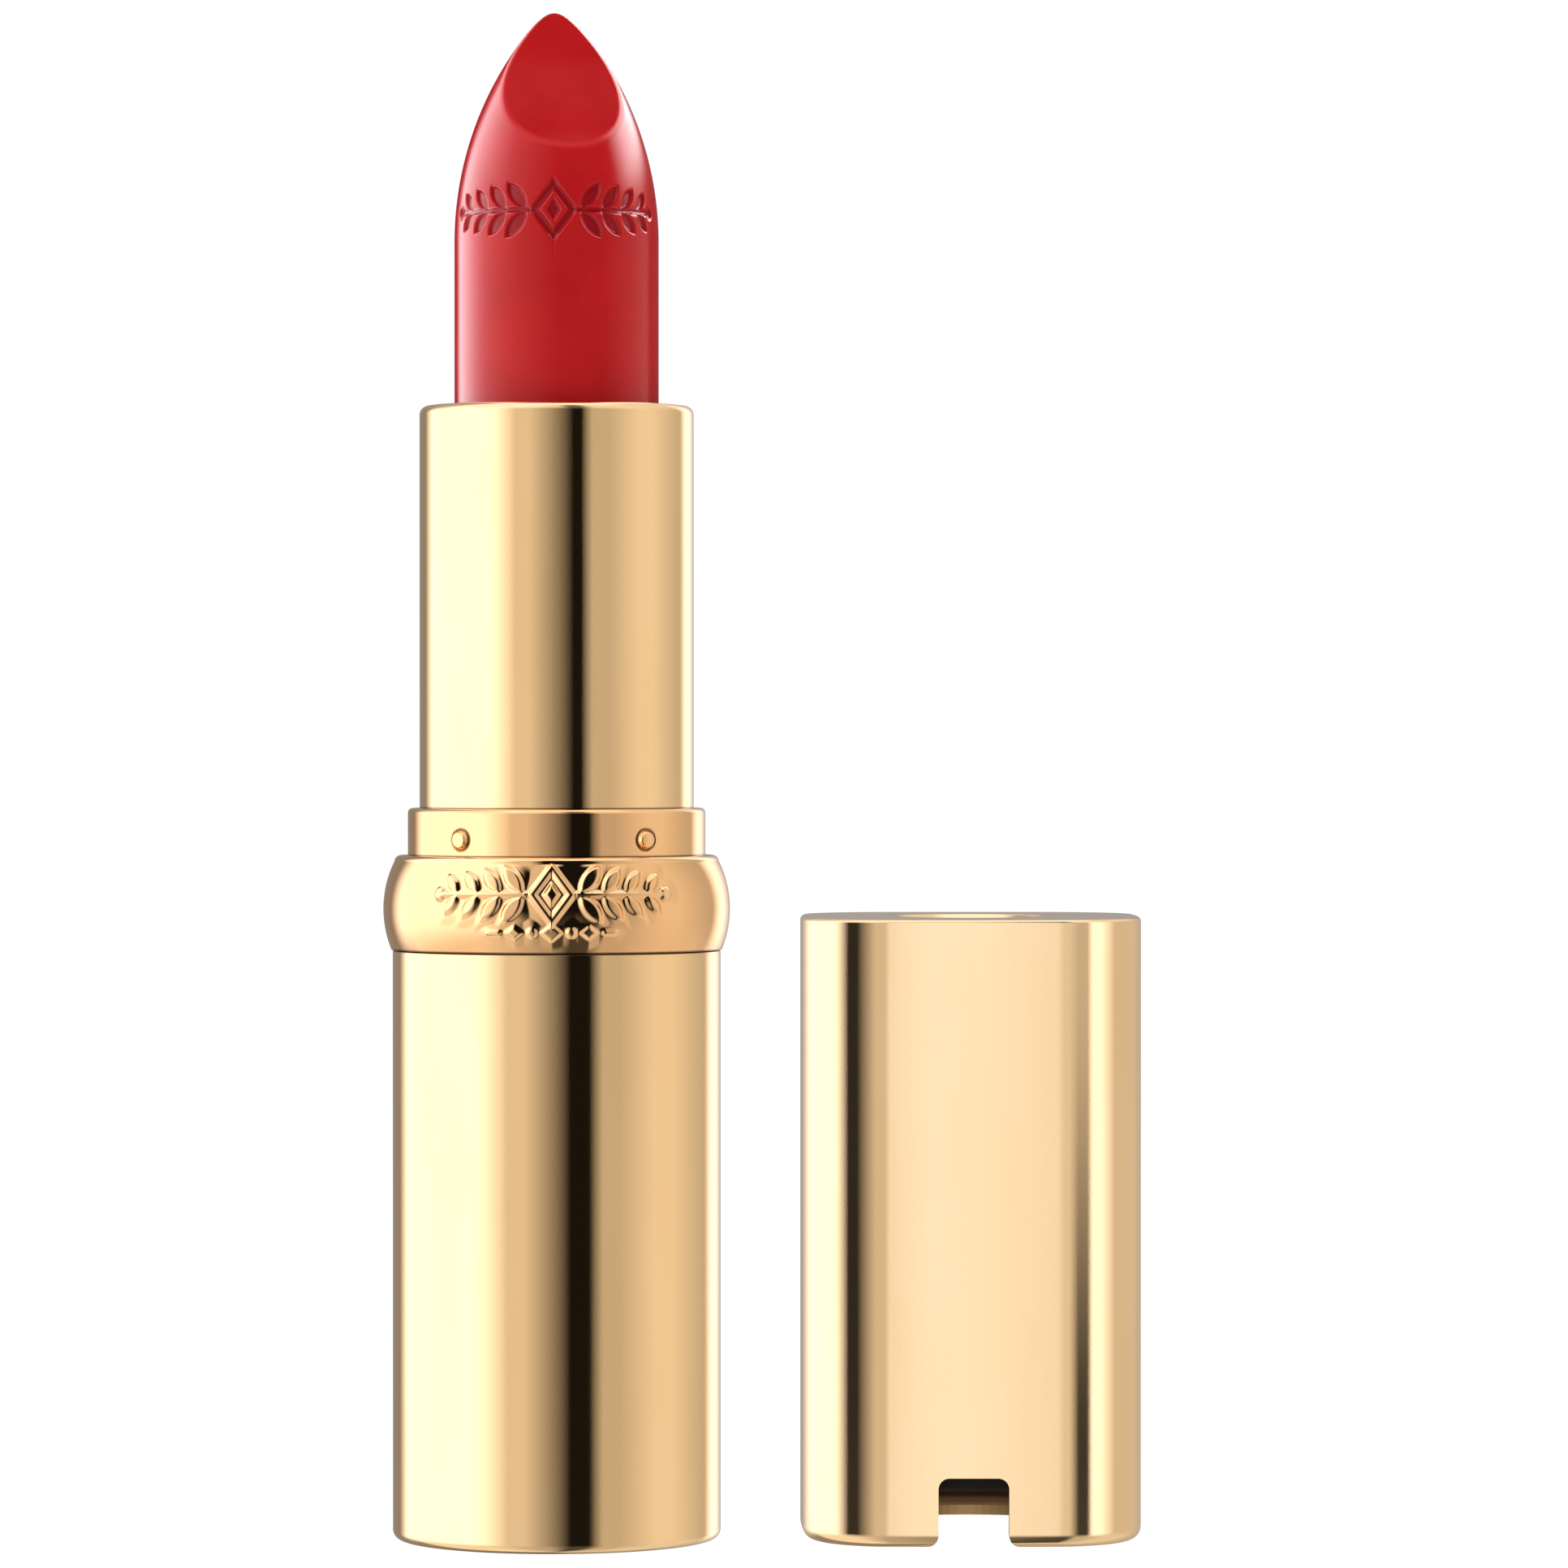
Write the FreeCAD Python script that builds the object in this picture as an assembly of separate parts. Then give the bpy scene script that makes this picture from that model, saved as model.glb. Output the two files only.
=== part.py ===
import FreeCAD, Part
import math
import os

# A twist-up lipstick case with its pull-off cap standing beside it.
# Millimetres, +Z up. The origin is the centre of the base's underside, on the case axis.
# The front, which the slanted face of the lipstick and the cap's notch show, is -Y.
# Rest pose: lipstick fully raised, cap on the same floor as the base, on the +X side.

# ---- driving dimensions -------------------------------------------------------------
BASE_R = 9.72           # outside of the base shell
BASE_H = 34.9           # top of the base shell, where the crown band starts
BAND_TOP = 40.5
BAND_R = 10.27          # widest point of the crown band
COLLAR_R = 8.82
COLLAR_TOP = 43.3
TUBE_R = 8.12
TUBE_TOP = 67.1
BULLET_R = 6.05
BULLET_TOP = 90.6       # tip of the lipstick before its edge is rounded
CAP_HALF = 10.15        # half the cap's width, flat to flat
CAP_H = 36.8
CAP_X = 24.6            # cap axis to case axis, sideways
CAP_Y = 4.0             # the cap stands a little further back
METAL = 0.45            # wall of the deep-drawn base, band and cap shells
FOOT_ROUND = 0.55       # rounding round the base's foot

TRAVEL = 25.0           # lift of the lipstick
PITCH = 16.0            # lift per turn of the tube

SNUG = 0.02             # gap between parts that are pressed or glued together
RUN = 0.05              # radial gap between parts that turn or slide on each other

# ---- twist mechanism, from the axis outwards -----------------------------------------
CUP_WALL = 0.45
GUIDE_WALL = 0.43
TUBE_WALL = 0.34
DRIVE_GAP = 0.06               # radial gap around the sleeve that turns, and at the lugs' tips
CUP_R = BULLET_R + CUP_WALL
GUIDE_IN = CUP_R + RUN
GUIDE_R = GUIDE_IN + GUIDE_WALL
SPIRAL_IN = GUIDE_R + DRIVE_GAP
TUBE_IN = TUBE_R - TUBE_WALL
SPIRAL_R = TUBE_IN - SNUG
GROOVE_R = SPIRAL_R - 0.22     # bottom of the helical grooves
LUG_R = GROOVE_R - DRIVE_GAP   # tip of the carrier's lugs
LUG_D = 1.6
SLOT_W = LUG_D + 2 * RUN
LUG_Z = 55.0                   # height of the lugs with the lipstick raised
CUP_BOTTOM = LUG_Z - 1.1
TUBE_LIP = 0.4                 # thickness of the tube's rolled mouth
CUP_TOP = TUBE_TOP - TUBE_LIP
CUP_FLOOR = CUP_BOTTOM + 3.4

# ---- heights inside the base ----------------------------------------------------------
SHELL_FLOOR = 0.6
WEIGHT_R = 6.3
WEIGHT_TOP = 16.0
GUIDE_FOOT = 22.0
FOOT_H = 3.0
SPIRAL_BOTTOM = 26.0
LINER_R = BASE_R - METAL - SNUG
LINER_BORE = SPIRAL_R + 0.1
SEAT_R = LINER_R - 0.45        # the liner's counterbore for the retaining ring
SEATED_R = SEAT_R - 0.1        # outside of the rings that sit in it
RING_SEAT = 33.4
RING_BOTTOM = 33.6
RING_TOP = 34.8
CORE_BOTTOM = 35.7             # underside of the collar's plastic core
CORE_IN = TUBE_R + RUN
CORE_FLANGE_TOP = CORE_BOTTOM + 0.7
COLLAR_IN = COLLAR_R - 0.4
COLLAR_LIP = 0.3               # thickness of the collar's turned-in top
BAND_LIP = 0.4                 # thickness of the band's turned-in top
LABEL_R = 6.5
LABEL_DEPTH = 0.2
LABEL_GAP = 0.05               # around the label in its recess

PIP_R = 0.55
PIP_OUT = 0.22                 # how far a pip stands out of the collar
PIP_ROUND = 0.14
PIP_ANGLE = 38.0               # from the front or the back, to either side
PIP_UP = 1.0                   # above the top of the band

# ---- lipstick tip -----------------------------------------------------------------------
TIP_CONE = math.radians(36.0)  # half angle of the cone that ends the tip
TIP_ARC = 20.0                 # arc from the cone to the straight body
TIP_LEN = 13.8                 # from the tip to the straight body
SCOOP_R = 18.0                 # radius of the slightly hollow slanted face
SCOOP_DROP = 8.35              # lowest point of the slanted face under the tip
SCOOP_TURN = 10.0              # degrees that the slanted face looks towards the cap
SCOOP_FILLET = 0.2

# ---- cap -----------------------------------------------------------------------------------
CAP_CORNER = 5.4
CAP_SIDE = 90.0                # radius of the slightly bowed sides
CAP_TOP_FILLET = 0.2
CAP_FOOT_FILLET = 0.8
CAP_LIP = 0.6                  # metal turned in under the liner
CAP_BORE = COLLAR_R + 0.26
CAP_BORE_TOP = 31.0
BEAD_H = 0.5                   # catch bead that the collar's pips snap over
BEAD_IN = 0.12
NOTCH_W = 4.15
NOTCH_H = 4.1
NOTCH_INNER = 0.65
NOTCH_FLARE = 0.75
POCKET_R = 7.0
POCKET_FLOOR = 32.2
CAP_WEIGHT_H = 1.6
BEZEL_R = 4.9
BEZEL_IN = 4.1
BEZEL_BEVEL = 0.35
BEZEL_H = 2.1
BEZEL_FLANGE_R = POCKET_R - 0.1
BEZEL_FLANGE_H = 0.5
BEZEL_LEDGE = 0.7              # ledge that carries the disc
DISC_H = 0.5
DISC_DROP = 0.75               # face of the inlaid disc under the cap's top

Z_AXIS = FreeCAD.Vector(0, 0, 1)
ORIGIN = FreeCAD.Vector(0, 0, 0)


# ---- helpers --------------------------------------------------------------------------------
def vec(x, y, z):
    return FreeCAD.Vector(x, y, z)


def rounded_wire(corners, place):
    """Closed wire through (u, v) or (u, v, radius) corners, its corners rounded by radius."""
    edges = []
    starts = []
    ends = []
    mids = []
    count = len(corners)
    for i in range(count):
        here = vec(corners[i][0], corners[i][1], 0)
        before = vec(corners[i - 1][0], corners[i - 1][1], 0)
        after = vec(corners[(i + 1) % count][0], corners[(i + 1) % count][1], 0)
        radius = corners[i][2] if len(corners[i]) == 3 else 0.0
        back = (before - here).normalize()
        ahead = (after - here).normalize()
        half = back.getAngle(ahead) / 2
        if radius <= 0.0 or half > math.pi / 2 - 1e-6:
            starts.append(here)
            ends.append(here)
            mids.append(None)
            continue
        run = radius / math.tan(half)
        bisector = (back + ahead).normalize()
        centre = here + bisector * (radius / math.sin(half))
        starts.append(here + back * run)
        ends.append(here + ahead * run)
        mids.append(centre - bisector * radius)
    for i in range(count):
        if mids[i] is not None:
            arc = Part.Arc(place(starts[i]), place(mids[i]), place(ends[i]))
            edges.append(arc.toShape())
        first = place(ends[i])
        second = place(starts[(i + 1) % count])
        if first.distanceToPoint(second) > 1e-6:
            edges.append(Part.makeLine(first, second))
    return Part.Wire(edges)


def lathe(corners):
    """Solid of revolution about Z from (radius, height) or (radius, height, rounding) corners."""
    wire = rounded_wire(corners, lambda p: vec(p.x, 0, p.y))
    return Part.Face(wire).revolve(ORIGIN, Z_AXIS, 360)


def tube(inner, outer, bottom, top):
    return lathe([(inner, bottom), (outer, bottom), (outer, top), (inner, top)])


def disc(radius, bottom, top):
    return Part.makeCylinder(radius, top - bottom, vec(0, 0, bottom))


def radial_pin(radius, inner, outer, angle, height):
    direction = vec(math.cos(math.radians(angle)), math.sin(math.radians(angle)), 0)
    return Part.makeCylinder(radius, outer - inner, direction * inner + vec(0, 0, height), direction)


def save(name, shape):
    solids = shape.Solids
    shape = solids[0] if len(solids) == 1 else Part.makeCompound(solids)
    shape.exportStep("parts/" + name + ".step")


# ---- base -----------------------------------------------------------------------------------
def base_shell():
    inner = BASE_R - METAL
    return lathe([
        (0, LABEL_DEPTH), (LABEL_R, LABEL_DEPTH), (LABEL_R, 0), (BASE_R, 0, FOOT_ROUND),
        (BASE_R, BASE_H), (inner, BASE_H), (inner, SHELL_FLOOR, 0.3), (0, SHELL_FLOOR),
    ])


def base_liner():
    bottom = SHELL_FLOOR + SNUG
    return lathe([
        (WEIGHT_R, bottom), (LINER_R, bottom, 0.35), (LINER_R, CORE_BOTTOM - SNUG),
        (SEAT_R, CORE_BOTTOM - SNUG), (SEAT_R, RING_SEAT), (LINER_BORE, RING_SEAT),
        (LINER_BORE, GUIDE_FOOT), (0, GUIDE_FOOT), (0, WEIGHT_TOP), (WEIGHT_R, WEIGHT_TOP),
    ])


def base_weight():
    return lathe([
        (0, SHELL_FLOOR + SNUG), (WEIGHT_R - SNUG, SHELL_FLOOR + SNUG, 0.4),
        (WEIGHT_R - SNUG, WEIGHT_TOP - SNUG, 0.4), (0, WEIGHT_TOP - SNUG),
    ])


def shade_label():
    return disc(LABEL_R - LABEL_GAP, SNUG, LABEL_DEPTH - SNUG)


def crown_band():
    """Barrel-shaped metal band; its top is rounded and turned in against the collar."""
    inner = BASE_R - METAL
    lip = COLLAR_R + SNUG
    under = BAND_TOP - BAND_LIP
    foot = vec(BASE_R + 0.08, 0, BASE_H + SNUG)
    belly = vec(BAND_R, 0, (BASE_H + BAND_TOP) / 2 - 0.2)
    shoulder = vec(BASE_R - 0.1, 0, BAND_TOP - 0.35)
    brim = vec(shoulder.x - 0.45, 0, BAND_TOP)
    turn = vec(shoulder.x - 0.12, 0, BAND_TOP - 0.1)
    outline = Part.Wire([
        Part.Arc(foot, belly, shoulder).toShape(),
        Part.Arc(shoulder, turn, brim).toShape(),
        Part.makeLine(brim, vec(lip, 0, BAND_TOP)),
        Part.makeLine(vec(lip, 0, BAND_TOP), vec(lip, 0, under)),
        Part.makeLine(vec(lip, 0, under), vec(inner, 0, under)),
        Part.makeLine(vec(inner, 0, under), vec(inner, 0, foot.z)),
        Part.makeLine(vec(inner, 0, foot.z), foot),
    ])
    return Part.Face(outline).revolve(ORIGIN, Z_AXIS, 360)


def band_core():
    return tube(COLLAR_R + SNUG, LINER_R, CORE_FLANGE_TOP + SNUG, BAND_TOP - BAND_LIP - SNUG)


def collar():
    """Metal collar that the cap pushes on, with four pips that hold the cap."""
    bottom = CORE_FLANGE_TOP + SNUG
    under = COLLAR_TOP - COLLAR_LIP
    shape = lathe([
        (COLLAR_IN, bottom), (COLLAR_R, bottom), (COLLAR_R, COLLAR_TOP, 0.28),
        (CORE_IN + SNUG, COLLAR_TOP), (CORE_IN + SNUG, under), (COLLAR_IN, under),
    ])
    for facing in (-90, 90):
        for side in (-1, 1):
            angle = facing + side * PIP_ANGLE
            pip = radial_pin(PIP_R, COLLAR_IN + 0.1, COLLAR_R + PIP_OUT, angle, BAND_TOP + PIP_UP)
            outer = max(pip.Edges, key=lambda e: math.hypot(e.CenterOfMass.x, e.CenterOfMass.y))
            shape = shape.fuse(pip.makeFillet(PIP_ROUND, [outer]))
    return shape


def collar_core():
    top = COLLAR_TOP - COLLAR_LIP - SNUG
    return lathe([
        (CORE_IN, CORE_BOTTOM), (LINER_R, CORE_BOTTOM), (LINER_R, CORE_FLANGE_TOP),
        (COLLAR_IN - SNUG, CORE_FLANGE_TOP), (COLLAR_IN - SNUG, top), (CORE_IN, top),
    ])


def guide_sleeve():
    """Fixed sleeve whose two straight slots stop the carrier from turning."""
    top = TUBE_TOP - 0.6
    shape = lathe([
        (GUIDE_IN, GUIDE_FOOT + SNUG), (LINER_BORE - SNUG, GUIDE_FOOT + SNUG),
        (LINER_BORE - SNUG, GUIDE_FOOT + FOOT_H), (GUIDE_R, GUIDE_FOOT + FOOT_H),
        (GUIDE_R, top), (GUIDE_IN, top),
    ])
    slack = 0.2
    low = LUG_Z - TRAVEL - slack
    high = LUG_Z + slack
    near = GUIDE_IN - 0.7
    far = GUIDE_R + 0.9
    for side in (0, 180):
        slot = Part.makeBox(far - near, SLOT_W, high - low, vec(near, -SLOT_W / 2, low))
        slot.rotate(ORIGIN, Z_AXIS, side)
        ends = [radial_pin(SLOT_W / 2, near, far, side, z) for z in (low, high)]
        shape = shape.cut([slot] + ends)
    return shape


def friction_ring_lower():
    bottom = GUIDE_FOOT + FOOT_H + SNUG
    top = SPIRAL_BOTTOM - RUN
    outer = LINER_BORE - 2 * SNUG
    return lathe([(GUIDE_R + SNUG, bottom), (outer, bottom, 0.2), (outer, top, 0.2), (GUIDE_R + SNUG, top)])


def friction_ring_upper():
    bottom = RING_TOP + RUN
    top = CORE_BOTTOM - SNUG
    inner = SPIRAL_R + DRIVE_GAP
    return lathe([(inner, bottom), (SEATED_R, bottom, 0.2), (SEATED_R, top, 0.2), (inner, top)])


# ---- turning tube ---------------------------------------------------------------------------
def tube_shell():
    """Drawn metal tube, its mouth rolled in over the sleeves."""
    bottom = CORE_BOTTOM + 0.3
    under = TUBE_TOP - TUBE_LIP
    return lathe([
        (TUBE_IN, bottom), (TUBE_R, bottom), (TUBE_R, TUBE_TOP, 0.5), (GUIDE_R, TUBE_TOP, 0.15),
        (GUIDE_R, under), (TUBE_IN, under),
    ])


def helical_groove(start_angle):
    """Tool for one groove: a bar swept up a helix, square at both ends."""
    inner = SPIRAL_IN - 0.3
    middle = (inner + GROOVE_R) / 2
    lead = math.atan2(PITCH, 2 * math.pi * middle)
    overrun = groove_overrun(lead)
    helix = Part.makeHelix(PITCH, TRAVEL + 2 * overrun, middle)
    upward = vec(0, -math.sin(lead), math.cos(lead)) * (SLOT_W / 2)
    corners = [vec(r, 0, 0) + upward * s for r, s in ((inner, -1), (GROOVE_R, -1), (GROOVE_R, 1), (inner, 1))]
    section = Part.makePolygon(corners + corners[:1])
    bar = Part.Wire(helix.Edges).makePipeShell([section], True, True)
    bar.translate(vec(0, 0, LUG_Z - TRAVEL - overrun))
    bar.rotate(ORIGIN, Z_AXIS, start_angle - 360 * (TRAVEL + overrun) / PITCH)
    return bar


def groove_overrun(lead):
    """Height by which a groove runs on past the lug's centre at each end."""
    return (LUG_D / 2 + 0.3) * math.sin(lead)


def spiral_sleeve():
    """Sleeve fixed in the tube. Its two inner helical grooves drive the carrier's lugs."""
    shape = tube(SPIRAL_IN, SPIRAL_R, SPIRAL_BOTTOM, TUBE_TOP - TUBE_LIP - SNUG)
    return shape.cut([helical_groove(0), helical_groove(180)])


def retaining_ring():
    """Ring on the spiral sleeve, under the collar, that keeps the tube in the base."""
    return tube(SPIRAL_R + SNUG, SEATED_R, RING_BOTTOM, RING_TOP)


# ---- carrier --------------------------------------------------------------------------------
def carrier_cup():
    inner = BULLET_R + SNUG
    skirt = CUP_R - 0.5
    under = CUP_FLOOR - 0.8
    shape = lathe([
        (skirt, CUP_BOTTOM), (CUP_R, CUP_BOTTOM), (CUP_R, CUP_TOP, 0.12), (inner, CUP_TOP, 0.12),
        (inner, CUP_FLOOR), (0, CUP_FLOOR), (0, under), (skirt, under),
    ])
    for side in (0, 180):
        shape = shape.fuse(radial_pin(LUG_D / 2, CUP_R - 0.3, LUG_R, side, LUG_Z))
    return shape


def lipstick_bullet():
    """Round stick ending in an ogive, with one slanted, slightly hollow face at the front."""
    shoulder = BULLET_TOP - TIP_LEN
    cone_r = BULLET_R - TIP_ARC * (1 - math.cos(TIP_CONE))
    cone_z = shoulder + TIP_ARC * math.sin(TIP_CONE)
    apex_z = cone_z + cone_r / math.tan(TIP_CONE)
    half_way = TIP_CONE / 2
    arc_mid = vec(BULLET_R - TIP_ARC * (1 - math.cos(half_way)), 0, shoulder + TIP_ARC * math.sin(half_way))
    bottom = vec(0, 0, CUP_FLOOR + SNUG)
    edge = vec(BULLET_R, 0, bottom.z)
    start = vec(BULLET_R, 0, shoulder)
    end = vec(cone_r, 0, cone_z)
    apex = vec(0, 0, apex_z)
    outline = Part.Wire([
        Part.makeLine(bottom, edge), Part.makeLine(edge, start), Part.Arc(start, arc_mid, end).toShape(),
        Part.makeLine(end, apex), Part.makeLine(apex, bottom),
    ])
    body = Part.Face(outline).revolve(ORIGIN, Z_AXIS, 360)

    # The hollow face runs from the back of the cone, at tip height, down to the front.
    back_y = (apex_z - BULLET_TOP) * math.tan(TIP_CONE)
    front_z = BULLET_TOP - SCOOP_DROP
    front_y = -(BULLET_R - TIP_ARC + math.sqrt(TIP_ARC ** 2 - (front_z - shoulder) ** 2))
    chord = vec(0, front_y - back_y, front_z - BULLET_TOP)
    middle = vec(0, (front_y + back_y) / 2, (front_z + BULLET_TOP) / 2)
    outward = vec(0, chord.z, -chord.y).normalize()
    centre = middle + outward * math.sqrt(SCOOP_R ** 2 - (chord.Length / 2) ** 2)
    reach = 2 * BULLET_R
    scoop = Part.makeCylinder(SCOOP_R, 2 * reach, centre - vec(reach, 0, 0), vec(1, 0, 0))
    scoop.rotate(ORIGIN, Z_AXIS, SCOOP_TURN)
    centre = FreeCAD.Rotation(Z_AXIS, SCOOP_TURN).multVec(centre)
    along = FreeCAD.Rotation(Z_AXIS, SCOOP_TURN).multVec(vec(1, 0, 0))
    cut = body.cut(scoop)

    def on_scoop(edge_shape):
        points = edge_shape.discretize(7)
        return all(abs((p - centre).cross(along).Length - SCOOP_R) < 1e-3 for p in points)

    rim = [e for e in cut.Edges if on_scoop(e)]
    return cut.makeFillet(SCOOP_FILLET, rim)


# ---- cap ------------------------------------------------------------------------------------
def cap_outline(inset, z):
    """Rounded square with slightly bowed sides, inset from the cap's outside."""
    # The corner's centre lies on the diagonal, where its arc is tangent to the side's arc.
    side_centre = CAP_HALF - CAP_SIDE
    gap = CAP_SIDE - CAP_CORNER
    corner = (side_centre + math.sqrt(2 * gap ** 2 - side_centre ** 2)) / 2
    lean = math.atan2(corner, corner - side_centre)
    side_r = CAP_SIDE - inset
    corner_r = CAP_CORNER - inset
    edges = []
    for quarter in range(4):
        turn = FreeCAD.Rotation(Z_AXIS, 90 * quarter)
        side = [vec(side_r * math.sin(a), side_centre + side_r * math.cos(a), z) for a in (lean, 0, -lean)]
        fillet = []
        for angle in (math.pi / 2 + lean, 3 * math.pi / 4, math.pi - lean):
            fillet.append(vec(-corner + corner_r * math.cos(angle), corner + corner_r * math.sin(angle), z))
        edges.append(Part.Arc(*[turn.multVec(p) for p in side]).toShape())
        edges.append(Part.Arc(*[turn.multVec(p) for p in fillet]).toShape())
    return Part.Wire(edges)


def cap_block(inset, bottom, top):
    return Part.Face(cap_outline(inset, bottom)).extrude(vec(0, 0, top - bottom))


def notch_tool():
    """Front notch of the cap: rounded inner corners and flared feet."""
    half = NOTCH_W / 2
    below = 1.0
    corners = [
        (-half - 2 * NOTCH_FLARE, -below), (-half - 2 * NOTCH_FLARE, 0), (-half, 0, NOTCH_FLARE),
        (-half, NOTCH_H, NOTCH_INNER), (half, NOTCH_H, NOTCH_INNER), (half, 0, NOTCH_FLARE),
        (half + 2 * NOTCH_FLARE, 0), (half + 2 * NOTCH_FLARE, -below),
    ]
    wire = rounded_wire(corners, lambda p: vec(p.x, -CAP_HALF - 1, p.y))
    return Part.Face(wire).extrude(vec(0, CAP_HALF, 0))


def level_edges(shape, z):
    return [e for e in shape.Edges if all(abs(v.Point.z - z) < 1e-6 for v in e.Vertexes)]


def cap_shell():
    shape = cap_block(0, 0, CAP_H)
    shape = shape.makeFillet(CAP_TOP_FILLET, level_edges(shape, CAP_H))
    shape = shape.makeFillet(CAP_FOOT_FILLET, level_edges(shape, 0))
    hollow = cap_block(METAL, CAP_LIP, CAP_H - METAL)
    mouth = disc(CAP_BORE + SNUG, -1, CAP_LIP + 1)
    window = disc(BEZEL_R + SNUG, CAP_H - 1, CAP_H + 1)
    return shape.cut([hollow, mouth, window, notch_tool()])


def cap_liner():
    """Plastic liner: round bore with a catch bead below, pocket for the weight above."""
    bottom = CAP_LIP + SNUG
    block = cap_block(METAL + SNUG, bottom, CAP_H - METAL - SNUG)
    bore = lathe([
        (0, bottom - 1), (CAP_BORE + BEAD_IN, bottom - 1), (CAP_BORE - BEAD_IN, bottom + 0.15),
        (CAP_BORE - BEAD_IN, bottom + BEAD_H), (CAP_BORE, bottom + BEAD_H + 0.3),
        (CAP_BORE, CAP_BORE_TOP, 0.8), (0, CAP_BORE_TOP),
    ])
    pocket = disc(POCKET_R + SNUG, POCKET_FLOOR, CAP_H)
    return block.cut([bore, pocket, notch_tool()])


def cap_weight():
    bottom = POCKET_FLOOR + SNUG
    top = bottom + CAP_WEIGHT_H
    return lathe([(0, bottom), (POCKET_R, bottom, 0.2), (POCKET_R, top, 0.2), (0, top)])


def cap_bezel_ring():
    """Bevelled ring around the inlaid disc, held by its flange under the cap's top."""
    foot = CAP_H - BEZEL_H
    flange_top = CAP_H - METAL - SNUG
    flange_foot = flange_top - BEZEL_FLANGE_H
    ledge = CAP_H - DISC_DROP - DISC_H - SNUG
    ledge_in = BEZEL_IN - BEZEL_LEDGE
    return lathe([
        (ledge_in, foot), (BEZEL_R, foot), (BEZEL_R, flange_foot),
        (BEZEL_FLANGE_R, flange_foot), (BEZEL_FLANGE_R, flange_top), (BEZEL_R, flange_top),
        (BEZEL_R, CAP_H, 0.08), (BEZEL_IN + BEZEL_BEVEL, CAP_H, 0.08), (BEZEL_IN, CAP_H - BEZEL_BEVEL),
        (BEZEL_IN, ledge), (ledge_in, ledge),
    ])


def cap_disc():
    top = CAP_H - DISC_DROP
    bottom = top - DISC_H
    radius = BEZEL_IN - SNUG
    return lathe([(0, bottom), (radius, bottom), (radius, top, 0.12), (0, top)])


CASE_PARTS = (
    base_shell, base_liner, base_weight, shade_label, crown_band, band_core, collar, collar_core,
    guide_sleeve, friction_ring_lower, friction_ring_upper, tube_shell, spiral_sleeve,
    retaining_ring, carrier_cup, lipstick_bullet,
)
CAP_PARTS = (cap_shell, cap_liner, cap_weight, cap_bezel_ring, cap_disc)

os.makedirs("parts", exist_ok=True)
for make in CASE_PARTS:
    save(make.__name__, make())
for make in CAP_PARTS:
    piece = make()
    piece.translate(vec(CAP_X, CAP_Y, 0))
    save(make.__name__, piece)
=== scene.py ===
import math

import bpy
import numpy as np
from mathutils import Matrix, Vector


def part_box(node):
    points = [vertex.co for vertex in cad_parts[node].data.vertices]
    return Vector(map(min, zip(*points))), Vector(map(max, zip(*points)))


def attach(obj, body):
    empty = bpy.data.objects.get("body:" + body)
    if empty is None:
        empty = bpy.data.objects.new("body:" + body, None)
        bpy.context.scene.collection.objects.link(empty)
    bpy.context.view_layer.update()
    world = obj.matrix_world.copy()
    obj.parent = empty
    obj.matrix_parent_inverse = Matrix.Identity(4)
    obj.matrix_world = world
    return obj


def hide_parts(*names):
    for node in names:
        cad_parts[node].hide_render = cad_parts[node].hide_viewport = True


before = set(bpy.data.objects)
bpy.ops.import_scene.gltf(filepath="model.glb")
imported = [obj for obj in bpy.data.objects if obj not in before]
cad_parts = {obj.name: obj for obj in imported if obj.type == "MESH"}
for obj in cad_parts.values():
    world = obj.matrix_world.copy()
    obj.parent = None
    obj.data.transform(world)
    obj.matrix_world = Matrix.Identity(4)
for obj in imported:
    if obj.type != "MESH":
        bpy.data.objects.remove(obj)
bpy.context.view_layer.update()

MM = 0.001          # every length below is in millimetres until it goes into a mesh


def box_mm(node):
    """Lowest and highest corner of a CAD node, in millimetres."""
    low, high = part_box(node)
    return low / MM, high / MM


# ---- the frame's sizes that the looks are built on --------------------------------------------
BASE_R = box_mm("base_shell")[1].x
BASE_TOP = box_mm("base_shell")[1].z
BAND_LOW, BAND_TOP = box_mm("crown_band")[0].z, box_mm("crown_band")[1].z
BAND_R = box_mm("crown_band")[1].x
COLLAR_LOW, COLLAR_TOP = box_mm("collar")[0].z, box_mm("collar")[1].z
COLLAR_R = box_mm("collar")[1].x
TUBE_R = box_mm("tube_shell")[1].x
TUBE_LOW, TUBE_TOP = box_mm("tube_shell")[0].z, box_mm("tube_shell")[1].z
STICK_R = box_mm("lipstick_bullet")[1].x
STICK_LOW = box_mm("lipstick_bullet")[0].z
CAP_LOW, CAP_HIGH = box_mm("cap_shell")
CAP_X = (CAP_LOW.x + CAP_HIGH.x) / 2
CAP_Y = (CAP_LOW.y + CAP_HIGH.y) / 2
CAP_HALF = (CAP_HIGH.x - CAP_LOW.x) / 2
CAP_H = CAP_HIGH.z
BEZEL_HIGH = box_mm("cap_bezel_ring")[1].z
DISC_LOW, DISC_HIGH = box_mm("cap_disc")


# ---- mesh building -------------------------------------------------------------------------------
def new_mesh(name, verts, faces):
    mesh = bpy.data.meshes.new(name)
    mesh.from_pydata((np.array(verts) * MM).tolist(), [], faces)
    return mesh


def new_object(name, data):
    obj = bpy.data.objects.new(name, data)
    bpy.context.scene.collection.objects.link(obj)
    return obj


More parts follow.
